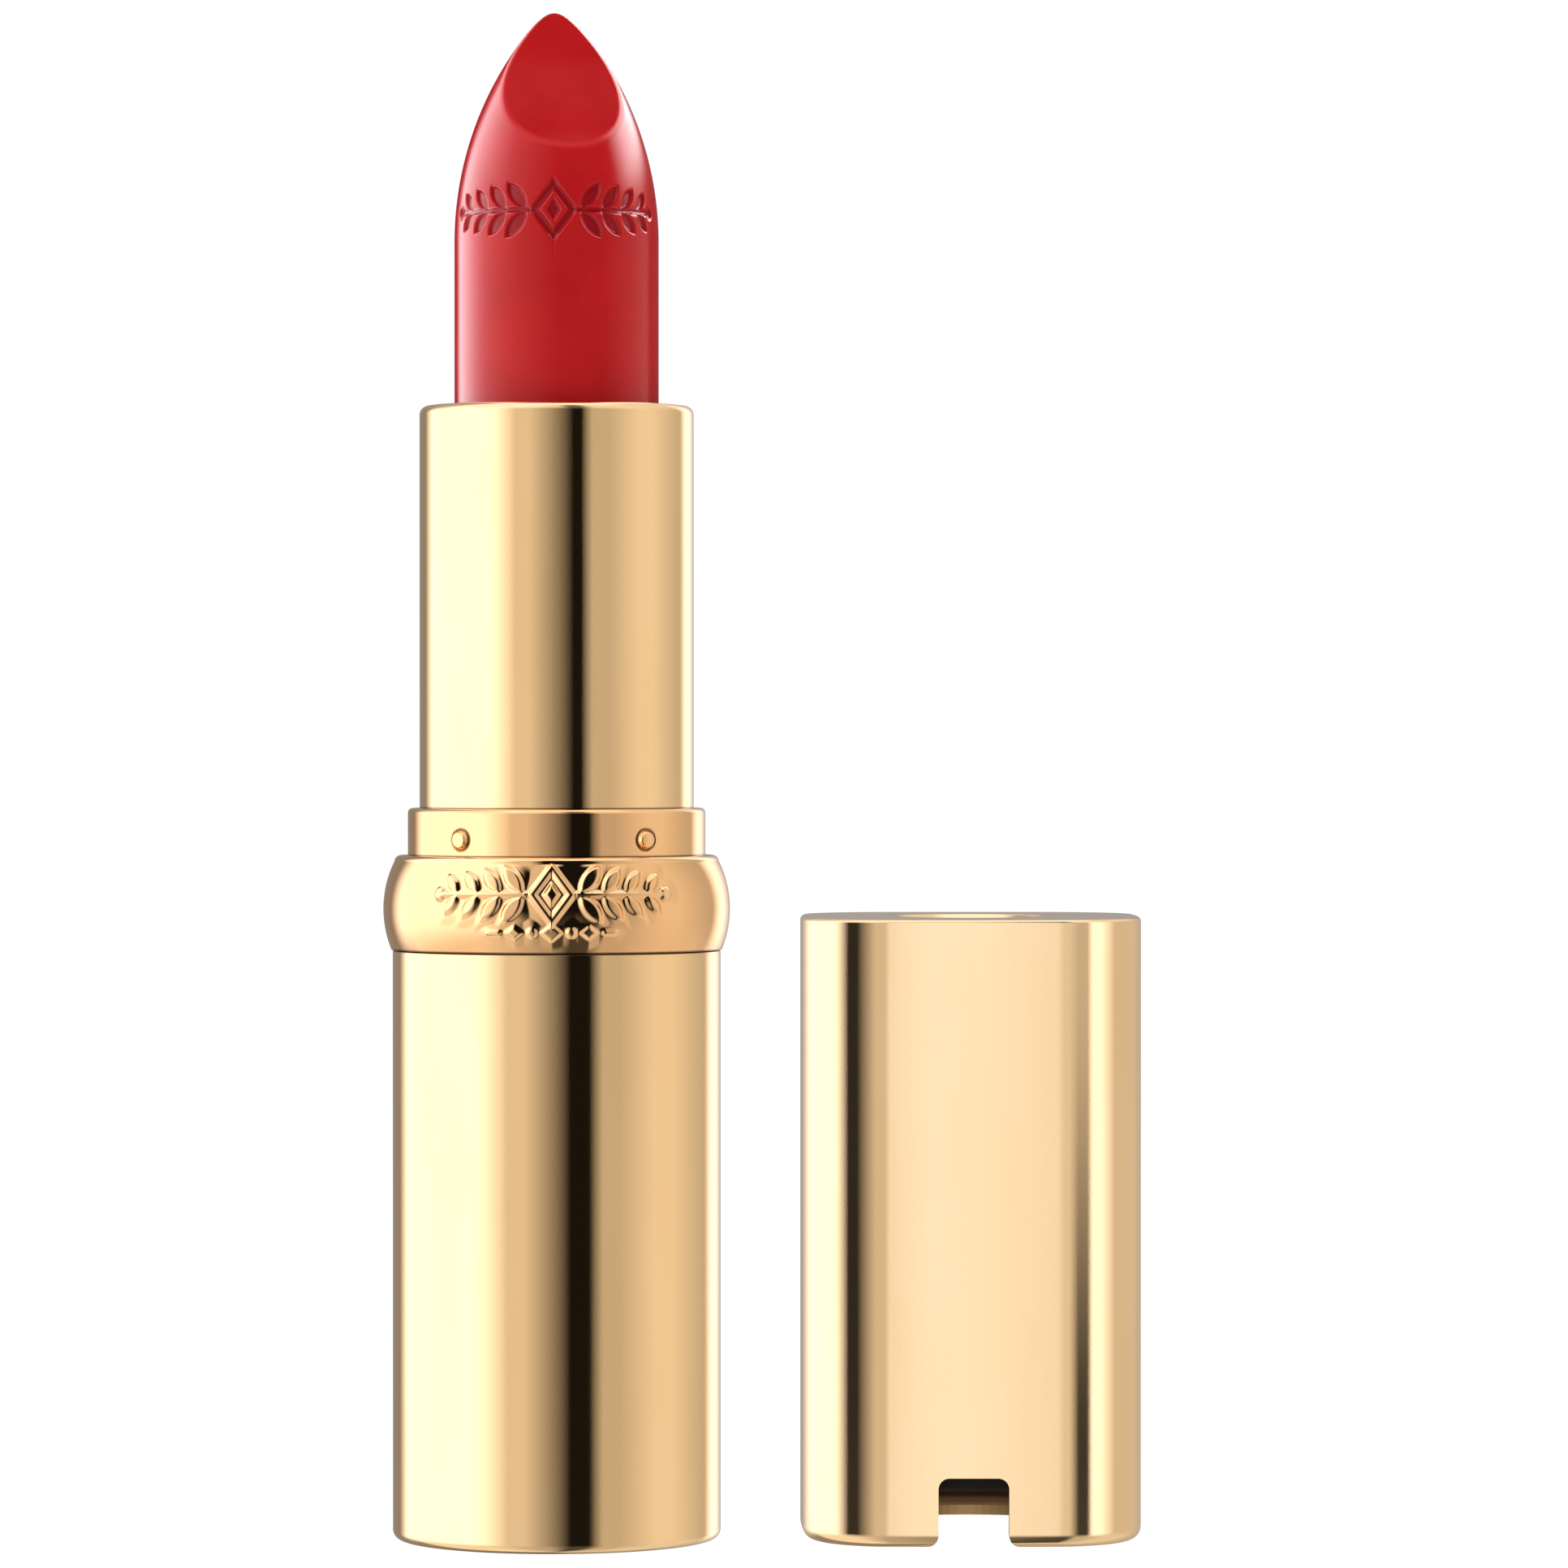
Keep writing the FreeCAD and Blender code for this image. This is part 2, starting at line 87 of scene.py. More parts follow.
def skin(name, rings, bands, body, material, replaces=(), marks=None):
    """Mesh from rings of points and the bands between them, each with its own normals.

    A ring is an (n, 3) array, or (1, 3) for a pole. A band is (ring, ring, normals, normals).
    Marks are named values, one number or array per ring, that the materials read."""
    first = []
    count = 0
    for ring in rings:
        first.append(count)
        count += len(ring)
    faces = []
    normals = []
    for low, high, low_n, high_n in bands:
        n = max(len(rings[low]), len(rings[high]))
        for k in range(n):
            m = (k + 1) % n
            if len(rings[low]) == 1:
                faces.append((first[low], first[high] + m, first[high] + k))
                normals += [low_n[k], high_n[m], high_n[k]]
            elif len(rings[high]) == 1:
                faces.append((first[low] + k, first[low] + m, first[high]))
                normals += [low_n[k], low_n[m], high_n[k]]
            else:
                faces.append((first[low] + k, first[low] + m, first[high] + m, first[high] + k))
                normals += [low_n[k], low_n[m], high_n[m], high_n[k]]
    mesh = new_mesh(name, np.concatenate(rings), faces)
    mesh.polygons.foreach_set("use_smooth", [True] * len(mesh.polygons))
    mesh.normals_split_custom_set([tuple(v) for v in normals])
    for label, values in (marks or {}).items():
        spread = [np.broadcast_to(v, len(ring)) for v, ring in zip(values, rings)]
        layer = mesh.attributes.new(label, "FLOAT", "POINT")
        layer.data.foreach_set("value", np.concatenate(spread).astype(np.float32))
    mesh.update()
    piece(name, mesh, body, material, replaces)


def piece(name, mesh, body, material, replaces=()):
    obj = new_object(name, mesh)
    mesh.materials.append(material)
    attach(obj, body)
    if replaces:
        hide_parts(*replaces)
    return obj


def profile(corners, pitch=2.5, steps=7):
    """Points, runs and wear of a closed (radius, height[, rounding]) profile, outside on its right.

    A run is (point, normal at its start, normal at its end). Wear is 1 on the middle of a rounding."""
    count = len(corners)
    stations = []
    for i in range(count):
        here = Vector(corners[i][:2])
        radius = corners[i][2] if len(corners[i]) == 3 else 0.0
        if not radius:
            stations.append([(here, None)])
            continue
        back = (Vector(corners[i - 1][:2]) - here).normalized()
        ahead = (Vector(corners[(i + 1) % count][:2]) - here).normalized()
        half = back.angle(ahead) / 2
        centre = here + (back + ahead).normalized() * (radius / math.sin(half))
        start = here + back * (radius / math.tan(half)) - centre
        end = here + ahead * (radius / math.tan(half)) - centre
        angle = math.atan2(start.y, start.x)
        sweep = (math.atan2(end.y, end.x) - angle + math.pi) % (2 * math.pi) - math.pi
        sign = 1 if sweep > 0 else -1
        arc = []
        for k in range(steps + 1):
            a = angle + sweep * k / steps
            out = Vector((math.cos(a), math.sin(a)))
            arc.append((centre + out * radius, out * sign))
        stations.append(arc)
    points = []
    runs = []
    worn = []
    for i in range(count):
        for k, ((p, n), (q, m)) in enumerate(zip(stations[i], stations[i][1:])):
            runs.append((len(points), n, m))
            points.append(p)
            worn.append(math.sin(math.pi * k / steps))
        p = stations[i][-1][0]
        q = stations[(i + 1) % count][0][0]
        step = q - p
        if step.length < 1e-7:
            continue
        flat = Vector((step.y, -step.x)).normalized()
        pieces = max(1, math.ceil(step.length / pitch))
        for k in range(pieces):
            runs.append((len(points), flat, flat))
            points.append(p + step * (k / pieces))
            worn.append(0.0)
    return points, runs, worn


def azimuths(coarse, fine_sectors=()):
    """Angles in degrees round the axis, finer inside the (middle, half width, step) sectors."""
    marks = []
    angle = 0.0
    while angle < 360 - 1e-6:
        marks.append(angle)
        step = coarse
        for middle, half, fine in fine_sectors:
            if abs((angle - middle + 180) % 360 - 180) <= half:
                step = fine
        angle += step
    return np.radians(np.array(marks) - 90.0)


def spin(points, runs, angles, centre=(0.0, 0.0)):
    """Rings and bands of a profile turned about a vertical axis."""
    out = np.stack([np.cos(angles), np.sin(angles)], axis=1)
    rings = []
    for p in points:
        if abs(p.x) < 1e-6:
            rings.append(np.array([[centre[0], centre[1], p.y]]))
        else:
            ring = np.column_stack([out * p.x, np.full(len(angles), p.y)])
            rings.append(ring + np.array([centre[0], centre[1], 0.0]))
    bands = []
    for i, n, m in runs:
        j = (i + 1) % len(points)
        if len(rings[i]) == 1 and len(rings[j]) == 1:
            continue
        low = np.column_stack([out * n.x, np.full(len(angles), n.y)])
        high = np.column_stack([out * m.x, np.full(len(angles), m.y)])
        bands.append((i, j, low, high))
    return rings, bands


def lathe(name, corners, body, material, replaces=(), centre=(0.0, 0.0)):
    points, runs, worn = profile(corners)
    angles = np.linspace(0, 2 * math.pi, 240, endpoint=False)
    rings, bands = spin(points, runs, angles, centre)
    skin(name, rings, bands, body, material, replaces, {"worn": worn})


def relief(rings, bands, rows, depth):
    """Pushes the rings in rows along their normals by depth(angle, height) and turns the normals.

    Returns how far each row was pushed."""
    rows = list(rows)
    grid = np.stack([rings[r] for r in rows])
    push = np.stack([normal_of(bands, r) for r in rows])
    angle = np.arctan2(grid[..., 0], -grid[..., 1])
    height = depth(angle, grid[..., 2])
    raised = grid + push * height[..., None]
    along = np.roll(raised, -1, axis=1) - np.roll(raised, 1, axis=1)
    up = np.gradient(raised, axis=0)
    normal = np.cross(along, up)
    normal /= np.linalg.norm(normal, axis=2, keepdims=True)
    moved = np.linalg.norm(raised - grid, axis=2) > 1e-6
    near = moved | np.roll(moved, 1, axis=1) | np.roll(moved, -1, axis=1)
    near[1:] |= moved[:-1]
    near[:-1] |= moved[1:]
    fixed = np.where(near[..., None], normal, push)
    lookup = {}
    for k, r in enumerate(rows):
        rings[r] = raised[k]
        lookup[r] = fixed[k]
    inside = set(rows)
    for b in range(len(bands)):
        low, high, low_n, high_n = bands[b]
        if low in inside and high in inside:
            bands[b] = (low, high, lookup[low], lookup[high])
    return dict(zip(rows, height))


def normal_of(bands, ring):
    for low, high, low_n, high_n in bands:
        if low == ring:
            return low_n
    raise ValueError(ring)


# ---- ornament: a generic sprig of leaves round a lozenge --------------------------------------
def leaf(x, z, cx, cz, length, width, angle):
    c, s = math.cos(math.radians(angle)), math.sin(math.radians(angle))
    u = (x - cx) * c + (z - cz) * s
    v = (z - cz) * c - (x - cx) * s
    a, b = length / 2, width / 2
    radius = (a * a + b * b) / (2 * b)
    return np.hypot(u, np.abs(v) + radius - b) - radius


def lozenge(x, z, cx, cz, a, b):
    return (np.abs(x - cx) / a + np.abs(z - cz) / b - 1) * a * b / math.hypot(a, b)


def bar(x, z, x0, x1, cz, half):
    return np.hypot(np.maximum(np.maximum(x0 - x, x - x1), 0), z - cz) - half


def sprig(x, z):
    """Distance to the main ornament, negative inside, centred on (0, 0), about 15 wide and 3 high."""
    x = np.abs(x)
    shapes = [
        np.abs(lozenge(x, z, 0, 0, 1.15, 1.5)) - 0.2,
        lozenge(x, z, 0, 0, 0.42, 0.62),
        bar(x, z, 1.5, 6.7, 0.0, 0.14),
        np.hypot(x - 7.1, z) - 0.36,
    ]
    for k in range(4):
        reach = 2.3 + 1.3 * k
        size = 1.06 - 0.11 * k
        for side in (-1, 1):
            shapes.append(leaf(x, z, reach, side * 0.8 * size, 1.85 * size, 0.78 * size, side * 50))
    return np.minimum.reduce(shapes)


def beads(x, z):
    """Distance to the small lower row, negative inside, centred on (0, 0)."""
    x = np.abs(x)
    shapes = [lozenge(x, z, 0, 0, 0.62, 0.5), np.hypot(x - 1.15, z) - 0.27]
    shapes += [lozenge(x, z, 2.2, 0, 0.5, 0.38), bar(x, z, 3.15, 3.75, 0.0, 0.13)]
    return np.minimum.reduce(shapes)


def smooth(a, b, x):
    t = np.clip((x - a) / (b - a), 0, 1)
    return t * t * (3 - 2 * t)


# ---- node helpers --------------------------------------------------------------------------------
class Net:
    """Short way to add shader nodes: inputs are values or other nodes' sockets."""

    def __init__(self, tree):
        self.tree = tree
        tree.nodes.clear()

    def add(self, kind, inputs=None, **settings):
        node = self.tree.nodes.new(kind)
        for key, value in settings.items():
            setattr(node, key, value)
        for key, value in (inputs or {}).items():
            if isinstance(value, bpy.types.NodeSocket):
                self.tree.links.new(value, node.inputs[key])
            else:
                node.inputs[key].default_value = value
        return node

    def math(self, operation, a, b=0.0, c=0.0):
        return self.add("ShaderNodeMath", {0: a, 1: b, 2: c}, operation=operation).outputs[0]

    def span(self, value, low, high):
        """0 below low, 1 above high, smooth between; the other way round where high is the lower."""
        return self.add("ShaderNodeMapRange", {0: value, 1: low, 2: high},
                        interpolation_type="SMOOTHSTEP").outputs[0]

    def mix(self, factor, a, b):
        node = self.add("ShaderNodeMix", data_type="RGBA")
        sockets = {s.identifier: s for s in node.inputs}
        named = (("Factor_Float", factor), ("A_Color", a), ("B_Color", b))
        for key, value in named:
            if isinstance(value, bpy.types.NodeSocket):
                self.tree.links.new(value, sockets[key])
            else:
                sockets[key].default_value = value
        return {s.identifier: s for s in node.outputs}["Result_Color"]

    def ramp(self, factor, stops):
        node = self.add("ShaderNodeValToRGB", {0: factor})
        elements = node.color_ramp.elements
        while len(elements) > 1:
            elements.remove(elements[0])
        elements[0].position = stops[0][0]
        elements[0].color = stops[0][1]
        for position, colour in stops[1:]:
            elements.new(position).color = colour
        return node.outputs[0]

    def noise(self, vector, scale, detail=2.0, rough=0.5, distortion=0.0):
        values = {"Vector": vector, "Scale": scale, "Detail": detail, "Roughness": rough}
        values["Distortion"] = distortion
        return self.add("ShaderNodeTexNoise", values).outputs["Fac"]

    def stretched(self, vector, x, y, z):
        return self.add("ShaderNodeVectorMath", {0: vector, 1: (x, y, z)}, operation="MULTIPLY").outputs[0]

    def height(self, vector):
        """Z of a vector in metres, in millimetres."""
        return self.math("MULTIPLY", self.add("ShaderNodeSeparateXYZ", {0: vector}).outputs[2], 1 / MM)

    def named(self, attribute):
        """Named value of the mesh, 0 where the mesh has none."""
        return self.add("ShaderNodeAttribute", attribute_name=attribute).outputs["Fac"]


def linear(r, g, b):
    """Linear colour of a 0 to 255 display colour."""
    out = []
    for c in (r / 255, g / 255, b / 255):
        out.append(c / 12.92 if c <= 0.04045 else ((c + 0.055) / 1.055) ** 2.4)
    return (out[0], out[1], out[2], 1.0)


def new_material(name):
    material = bpy.data.materials.new(name)
    material.use_nodes = True
    return material, Net(material.node_tree)


def new_surface(name):
    """Material, its nodes and the object's own coordinates in metres."""
    material, net = new_material(name)
    return material, net, net.add("ShaderNodeTexCoord").outputs["Object"]


def finish_surface(net, colour, metallic, rough, bumps, extra=None):
    """Principled surface with its colour, roughness and a chain of (height, strength, distance)."""
    normal = None
    for height, strength, distance in bumps:
        values = {"Height": height, "Strength": strength, "Distance": distance * MM}
        if normal is not None:
            values["Normal"] = normal
        normal = net.add("ShaderNodeBump", values).outputs[0]
    values = {"Base Color": colour, "Metallic": metallic, "Roughness": rough}
    if normal is not None:
        values["Normal"] = normal
    values.update(extra or {})
    surface = net.add("ShaderNodeBsdfPrincipled", values)
    net.add("ShaderNodeOutputMaterial", {"Surface": surface.outputs[0]})


# ---- materials ---------------------------------------------------------------------------------
GOLD = (0.98, 0.70, 0.38, 1.0)
ROSE_GOLD = (0.96, 0.60, 0.30, 1.0)
CAP_GOLD = (0.98, 0.72, 0.42, 1.0)


def plated_metal(name, tint, rough, grain, brush, shade_seams=()):
    """Polished plating: faint tint drift, satin grain, drawing lines along Z and worn edges.

    Seams are heights where the piece meets another or stands on the floor; a thin dark line of painted shade
    is drawn along each."""
    material, net, at = new_surface(name)
    drift = net.noise(net.stretched(at, 260.0, 260.0, 60.0), 1.0, 3.0)
    deeper = (tint[0] * 0.99, tint[1] * 0.97, tint[2] * 0.94, 1.0)
    colour = net.mix(net.span(drift, 0.35, 0.7), tint, deeper)
    lines = net.noise(net.stretched(at, 9000.0, 9000.0, 120.0), 1.0, 2.0, 0.6)
    specks = net.noise(at, 5200.0, 2.0, 0.55)
    smudge = net.noise(at, 95.0, 4.0, 0.6, 0.6)
    wear = net.math("MULTIPLY", net.named("worn"), net.span(smudge, 0.3, 0.7))
    colour = net.mix(net.math("MULTIPLY", wear, 0.3), colour, (1.0, 0.86, 0.62, 1.0))
    # painted shade: along seams and round the collar's buttons the colour goes to dark brown
    painted_shade_line = net.named("painted_shade_line")
    height = net.height(at)
    seam_core, seam_edge = 0.02, 0.13
    for seam in shade_seams:
        off = net.math("ABSOLUTE", net.math("SUBTRACT", height, seam))
        painted_shade_line = net.math("MAXIMUM", painted_shade_line, net.span(off, seam_edge, seam_core))
    colour = net.mix(net.math("MULTIPLY", painted_shade_line, 0.88), colour, (0.10, 0.045, 0.015, 1.0))
    level = net.math("ADD", rough, net.math("MULTIPLY", net.span(smudge, 0.45, 0.8), 0.02))
    level = net.math("ADD", level, net.math("MULTIPLY", lines, 0.015))
    level = net.math("ADD", level, net.math("MULTIPLY", wear, 0.05))
    finish_surface(net, colour, 1.0, level, [(specks, grain, 0.004), (lines, brush, 0.003)])
    return material


def lipstick_wax():
    """Red wax with a soft gloss, with painted shade in the pressed ornament and a painted highlight along
    the cut's edge.
    """
    material, net, at = new_surface("lipstick_wax")
    cloud = net.noise(at, 240.0, 4.0, 0.55)
    pores = net.noise(at, 4200.0, 3.0, 0.6)
    swirl = net.noise(net.stretched(at, 500.0, 500.0, 160.0), 1.0, 3.0, 0.5, 0.8)
    colour = net.mix(net.span(cloud, 0.3, 0.7), linear(186, 26, 30), linear(178, 22, 25))
    colour = net.mix(net.math("MULTIPLY", net.span(pores, 0.62, 0.75), 0.15), colour, linear(205, 40, 46))
    # painted shade: the pressed strokes go toward a deeper red
    colour = net.mix(net.math("MULTIPLY", net.named("painted_recess_shade"), 0.75), colour, linear(140, 12, 24))
    # painted highlight: paler red along the rim where the cut face meets the ogive
    colour = net.mix(net.math("MULTIPLY", net.named("painted_rim_highlight"), 0.3), colour, linear(222, 66, 68))
    rough = net.math("ADD", 0.17, net.math("MULTIPLY", swirl, 0.06))
    bumps = [(cloud, 0.10, 0.05), (pores, 0.10, 0.006)]
    extra = {"Specular IOR Level": 0.5, "IOR": 1.45}
    finish_surface(net, colour, 0.0, rough, bumps, extra)
    return material


def moulded_plastic(name, tint, shade, rough, dusk=None):
    """Fine-grained plastic. With dusk it turns to that colour up inside the cap, where shade gathers."""
    material, net, at = new_surface(name)
    cloud = net.noise(at, 150.0, 3.0)
    texture = net.noise(at, 3500.0, 3.0, 0.6)
    colour = net.mix(net.span(cloud, 0.3, 0.7), tint, shade)
    extra = {}
    if dusk:
        level = net.math("ADD", net.height(at), net.math("MULTIPLY", cloud, 0.5))
        colour = net.mix(net.span(level, 0.3, 2.1), colour, dusk)
        extra = {"Specular IOR Level": 0.3}
    rough = net.math("ADD", rough, net.math("MULTIPLY", texture, 0.12))
    finish_surface(net, colour, 0.0, rough, [(cloud, 0.1, 0.05), (texture, 0.25, 0.01)], extra)
    return material


def turned_steel():
    """Dull steel with turning marks and darker spots."""
    material, net, at = new_surface("turned_steel")
    rings = net.noise(net.stretched(at, 300.0, 300.0, 9000.0), 1.0, 2.0)
    spots = net.noise(at, 420.0, 4.0)
    colour = net.mix(net.span(spots, 0.4, 0.7), (0.55, 0.54, 0.52, 1), (0.42, 0.40, 0.38, 1))
    level = net.math("ADD", 0.3, net.math("MULTIPLY", spots, 0.2))
    finish_surface(net, colour, 1.0, level, [(rings, 0.3, 0.01)])
    return material


def printed_film():
    """Pale label with a thin printed ring and a plain colour swatch, no lettering."""
    material, net, at = new_surface("printed_film")
    split = net.add("ShaderNodeSeparateXYZ", {0: at})
    away = net.math("MULTIPLY", net.add("ShaderNodeVectorMath", {0: net.stretched(at, 1, 1, 0)},
                                        operation="LENGTH").outputs["Value"], 1 / MM)
    ring_r, swatch_half, swatch_r = 5.6, 1.1, 4.4
    ring = net.span(net.math("ABSOLUTE", net.math("SUBTRACT", away, ring_r)), 0.16, 0.1)
    high = net.math("ABSOLUTE", net.math("MULTIPLY", split.outputs[1], 1 / MM))
    swatch = net.math("MULTIPLY", net.span(high, swatch_half + 0.05, swatch_half),
                      net.span(away, swatch_r + 0.1, swatch_r))
    paper = net.noise(at, 2600.0, 3.0)
    colour = net.mix(net.span(paper, 0.3, 0.7), linear(238, 232, 220), linear(229, 221, 206))
    colour = net.mix(ring, colour, linear(120, 88, 50))
    colour = net.mix(swatch, colour, linear(176, 28, 34))
    finish_surface(net, colour, 0.0, 0.35, [(paper, 0.1, 0.004)])
    return material


# the last list holds the heights of the painted shade lines: seams with the next piece, and the base's foot
# on the floor
tube_gold = plated_metal("tube_gold", GOLD, 0.045, 0.2, 0.1, [COLLAR_TOP])
base_gold = plated_metal("base_gold", GOLD, 0.05, 0.2, 0.1, [0.0, BASE_TOP])
collar_gold = plated_metal("collar_gold", ROSE_GOLD, 0.04, 0.15, 0.08, [BAND_TOP])
band_gold = plated_metal("band_gold", ROSE_GOLD, 0.04, 0.15, 0.05, [BAND_LOW])
cap_gold = plated_metal("cap_gold", CAP_GOLD, 0.06, 0.3, 0.15)
bezel_gold = plated_metal("bezel_gold", CAP_GOLD, 0.08, 0.2, 0.1)
wax = lipstick_wax()
liner_plastic = moulded_plastic("liner_plastic", linear(150, 112, 66), linear(138, 100, 56), 0.35)
white_plastic = moulded_plastic("mechanism_plastic", linear(226, 220, 208), linear(214, 206, 192), 0.38)
cup_plastic = moulded_plastic("cup_plastic", linear(206, 170, 112), linear(194, 156, 98), 0.3)
ring_silicone = moulded_plastic("ring_silicone", linear(120, 118, 114), linear(96, 94, 90), 0.55)
lining = moulded_plastic("cap_lining", linear(150, 104, 54), linear(138, 94, 46), 0.4, linear(26, 11, 3))
# darker, rougher copy of the cap's gold for the inside of its lip: painted shade
cap_inside_shade = plated_metal("cap_inside_painted_shade", (0.42, 0.27, 0.12, 1.0), 0.30, 0.3, 0.15)
steel = turned_steel()
film = printed_film()


# ---- case -----------------------------------------------------------------------------------------
WALL = 0.45             # thickness of the base and cap casings
BASE_FLOOR = 0.6        # inside of the base casing's floor
LABEL_DEPTH = 0.2       # recess under the base
LABEL_R = box_mm("shade_label")[1].x + 0.05
FOOT_ROUND = 0.55
TUBE_IN = TUBE_R - 0.34
MOUTH_IN = TUBE_R - 1.1     # the tube's edge is rolled in to here
MOUTH_LIP = 0.4
MOUTH_ROUND = 0.5
EDGE = 0.1              # rounding of a cut edge

lathe("base_casing", [
    (0, LABEL_DEPTH), (LABEL_R, LABEL_DEPTH), (LABEL_R, 0, 0.8 * EDGE), (BASE_R, 0, FOOT_ROUND),
    (BASE_R, BASE_TOP, EDGE), (BASE_R - WALL, BASE_TOP), (BASE_R - WALL, BASE_FLOOR, 3 * EDGE),
    (0, BASE_FLOOR),
], "base", base_gold, ["base_shell"])

lathe("tube_casing", [
    (TUBE_IN, TUBE_LOW), (TUBE_R, TUBE_LOW, EDGE), (TUBE_R, TUBE_TOP, MOUTH_ROUND),
    (MOUTH_IN, TUBE_TOP, 1.5 * EDGE), (MOUTH_IN, TUBE_TOP - MOUTH_LIP), (TUBE_IN, TUBE_TOP - MOUTH_LIP),
], "tube", tube_gold, ["tube_shell"])


EMBOSS = 0.25       # height of the band's raised ornament


def bulge(foot, belly, brim, steps):
    """Points and normals of the arc through three (radius, height) points, from foot to brim."""
    (x0, y0), (x1, y1), (x2, y2) = foot, belly, brim
    d = 2 * (x0 * (y1 - y2) + x1 * (y2 - y0) + x2 * (y0 - y1))
    s0, s1, s2 = x0 * x0 + y0 * y0, x1 * x1 + y1 * y1, x2 * x2 + y2 * y2
    cx = (s0 * (y1 - y2) + s1 * (y2 - y0) + s2 * (y0 - y1)) / d
    cy = (s0 * (x2 - x1) + s1 * (x0 - x2) + s2 * (x1 - x0)) / d
    radius = math.hypot(x0 - cx, y0 - cy)
    a0 = math.atan2(y0 - cy, x0 - cx)
    a2 = math.atan2(y2 - cy, x2 - cx)
    out = []
    for k in range(steps + 1):
        a = a0 + (a2 - a0) * k / steps
        normal = Vector((math.cos(a), math.sin(a)))
        out.append((Vector((cx, cy)) + normal * radius, normal))
    return out


def crown_band():
    """Barrel band with the raised sprig at the front, its brim rolled in against the collar.

    The ornament swells softly out of the band: a low skirt reaches 0.8 mm round its shapes."""
    inner = BASE_R - WALL
    lip = COLLAR_R + 0.02
    lip_z = BAND_TOP - 0.4
    shoulder = (BASE_R - 0.1, BAND_TOP - 0.35)
    belly = (BAND_R, (BAND_LOW + BAND_TOP) / 2 - 0.2)
    arc = bulge((BASE_R + 0.08, BAND_LOW), belly, shoulder, 84)
    brim = bulge(shoulder, (BASE_R - 0.22, BAND_TOP - 0.1), (BASE_R - 0.55, BAND_TOP), 8)
    sprig_z = BAND_TOP - 2.15
    beads_z = BAND_LOW + 1.25
    points = [p for p, n in arc] + [p for p, n in brim[1:]]
    normals = [n for p, n in arc] + [n for p, n in brim[1:]]
    runs = [(k, normals[k], normals[k + 1]) for k in range(len(points) - 1)]
    face = len(arc)
    for corner in ((lip, BAND_TOP), (lip, lip_z), (inner, lip_z), (inner, BAND_LOW)):
        step = Vector(corner) - points[-1]
        flat = Vector((step.y, -step.x)).normalized()
        runs.append((len(points) - 1, flat, flat))
        points.append(Vector(corner))
    down = Vector((0.0, -1.0))
    runs.append((len(points) - 1, down, down))
    rings, bands = spin(points, runs, azimuths(2.0, [(0, 48, 0.4)]))

    def raised(angle, height):
        along = angle * BAND_R
        upper = sprig(along, height - sprig_z)
        lower = beads(along, height - beads_z)
        skirt = smooth(0.8, 0.0, np.minimum(upper, lower + 0.1))
        skirt *= smooth(0.0, 0.5, height - BAND_LOW) * smooth(0.1, 0.6, BAND_TOP - height)
        return EMBOSS * (0.75 * smooth(0.16, -0.16, upper) + 0.6 * smooth(0.14, -0.14, lower) + 0.25 * skirt)

    pushed = relief(rings, bands, range(1, face - 1), raised)
    worn = [0.4 * pushed[r] / EMBOSS if r in pushed else 0.0 for r in range(len(rings))]
    for k in range(len(brim)):
        worn[face - 1 + k] = math.sin(math.pi * k / (len(brim) - 1))
    marks = {"worn": worn}
    skin("crown_band_cast", rings, bands, "base", band_gold, ["crown_band"], marks)


crown_band()


def pip_collar():
    """Collar with four small buttons that the cap clicks over."""
    across = 38.0       # degrees from the front to a button
    at_z = BAND_TOP + 1.0
    button_r = 0.5
    groove = 0.62       # radius of the line of painted shade round a button
    inner = COLLAR_R - 0.4
    mouth = TUBE_R + 0.07
    lip_z = COLLAR_TOP - 0.3
    points, runs, worn = profile([
        (inner, COLLAR_LOW), (COLLAR_R, COLLAR_LOW), (COLLAR_R, COLLAR_TOP, 0.28),
        (mouth, COLLAR_TOP, 0.06), (mouth, lip_z), (inner, lip_z),
    ], pitch=0.06)
    sectors = [(side * across + turn, 6.5, 0.3) for side in (-1, 1) for turn in (0, 180)]
    rings, bands = spin(points, runs, azimuths(2.0, sectors))
    rows = [k for k, p in enumerate(points) if abs(p.x - COLLAR_R) < 1e-5 and p.y < lip_z]

    def to_pip(angle, height):
        """Distance to the nearest button's centre, along the collar."""
        near = np.full(np.shape(angle), 9.0)
        for middle in (-across, across, 180 - across, 180 + across):
            swing = (np.degrees(angle) - middle + 180) % 360 - 180
            near = np.minimum(near, np.hypot(np.radians(swing) * COLLAR_R, height - at_z))
        return near

    def button(angle, height):
        away = to_pip(angle, height)
        dome = 0.17 * smooth(0.56, 0.44, away) + 0.09 * np.sqrt(np.clip(1 - (away / button_r) ** 2, 0, 1))
        return dome - 0.07 * smooth(0.12, 0.0, np.abs(away - 0.64))

    relief(rings, bands, rows[1:-1], button)
    # painted shade in the groove round each button
    painted_shade_line = []
    for ring in rings:
        away = to_pip(np.arctan2(ring[:, 0], -ring[:, 1]), ring[:, 2])
        outside = np.hypot(ring[:, 0], ring[:, 1]) > COLLAR_R - 0.2
        painted_shade_line.append(smooth(0.11, 0.04, np.abs(away - groove)) * outside)
    marks = {"worn": worn, "painted_shade_line": painted_shade_line}
    skin("pip_collar", rings, bands, "base", collar_gold, ["collar"], marks)


pip_collar()


# ---- lipstick -------------------------------------------------------------------------------------
PRESS = 0.2         # depth of the pressed ornament


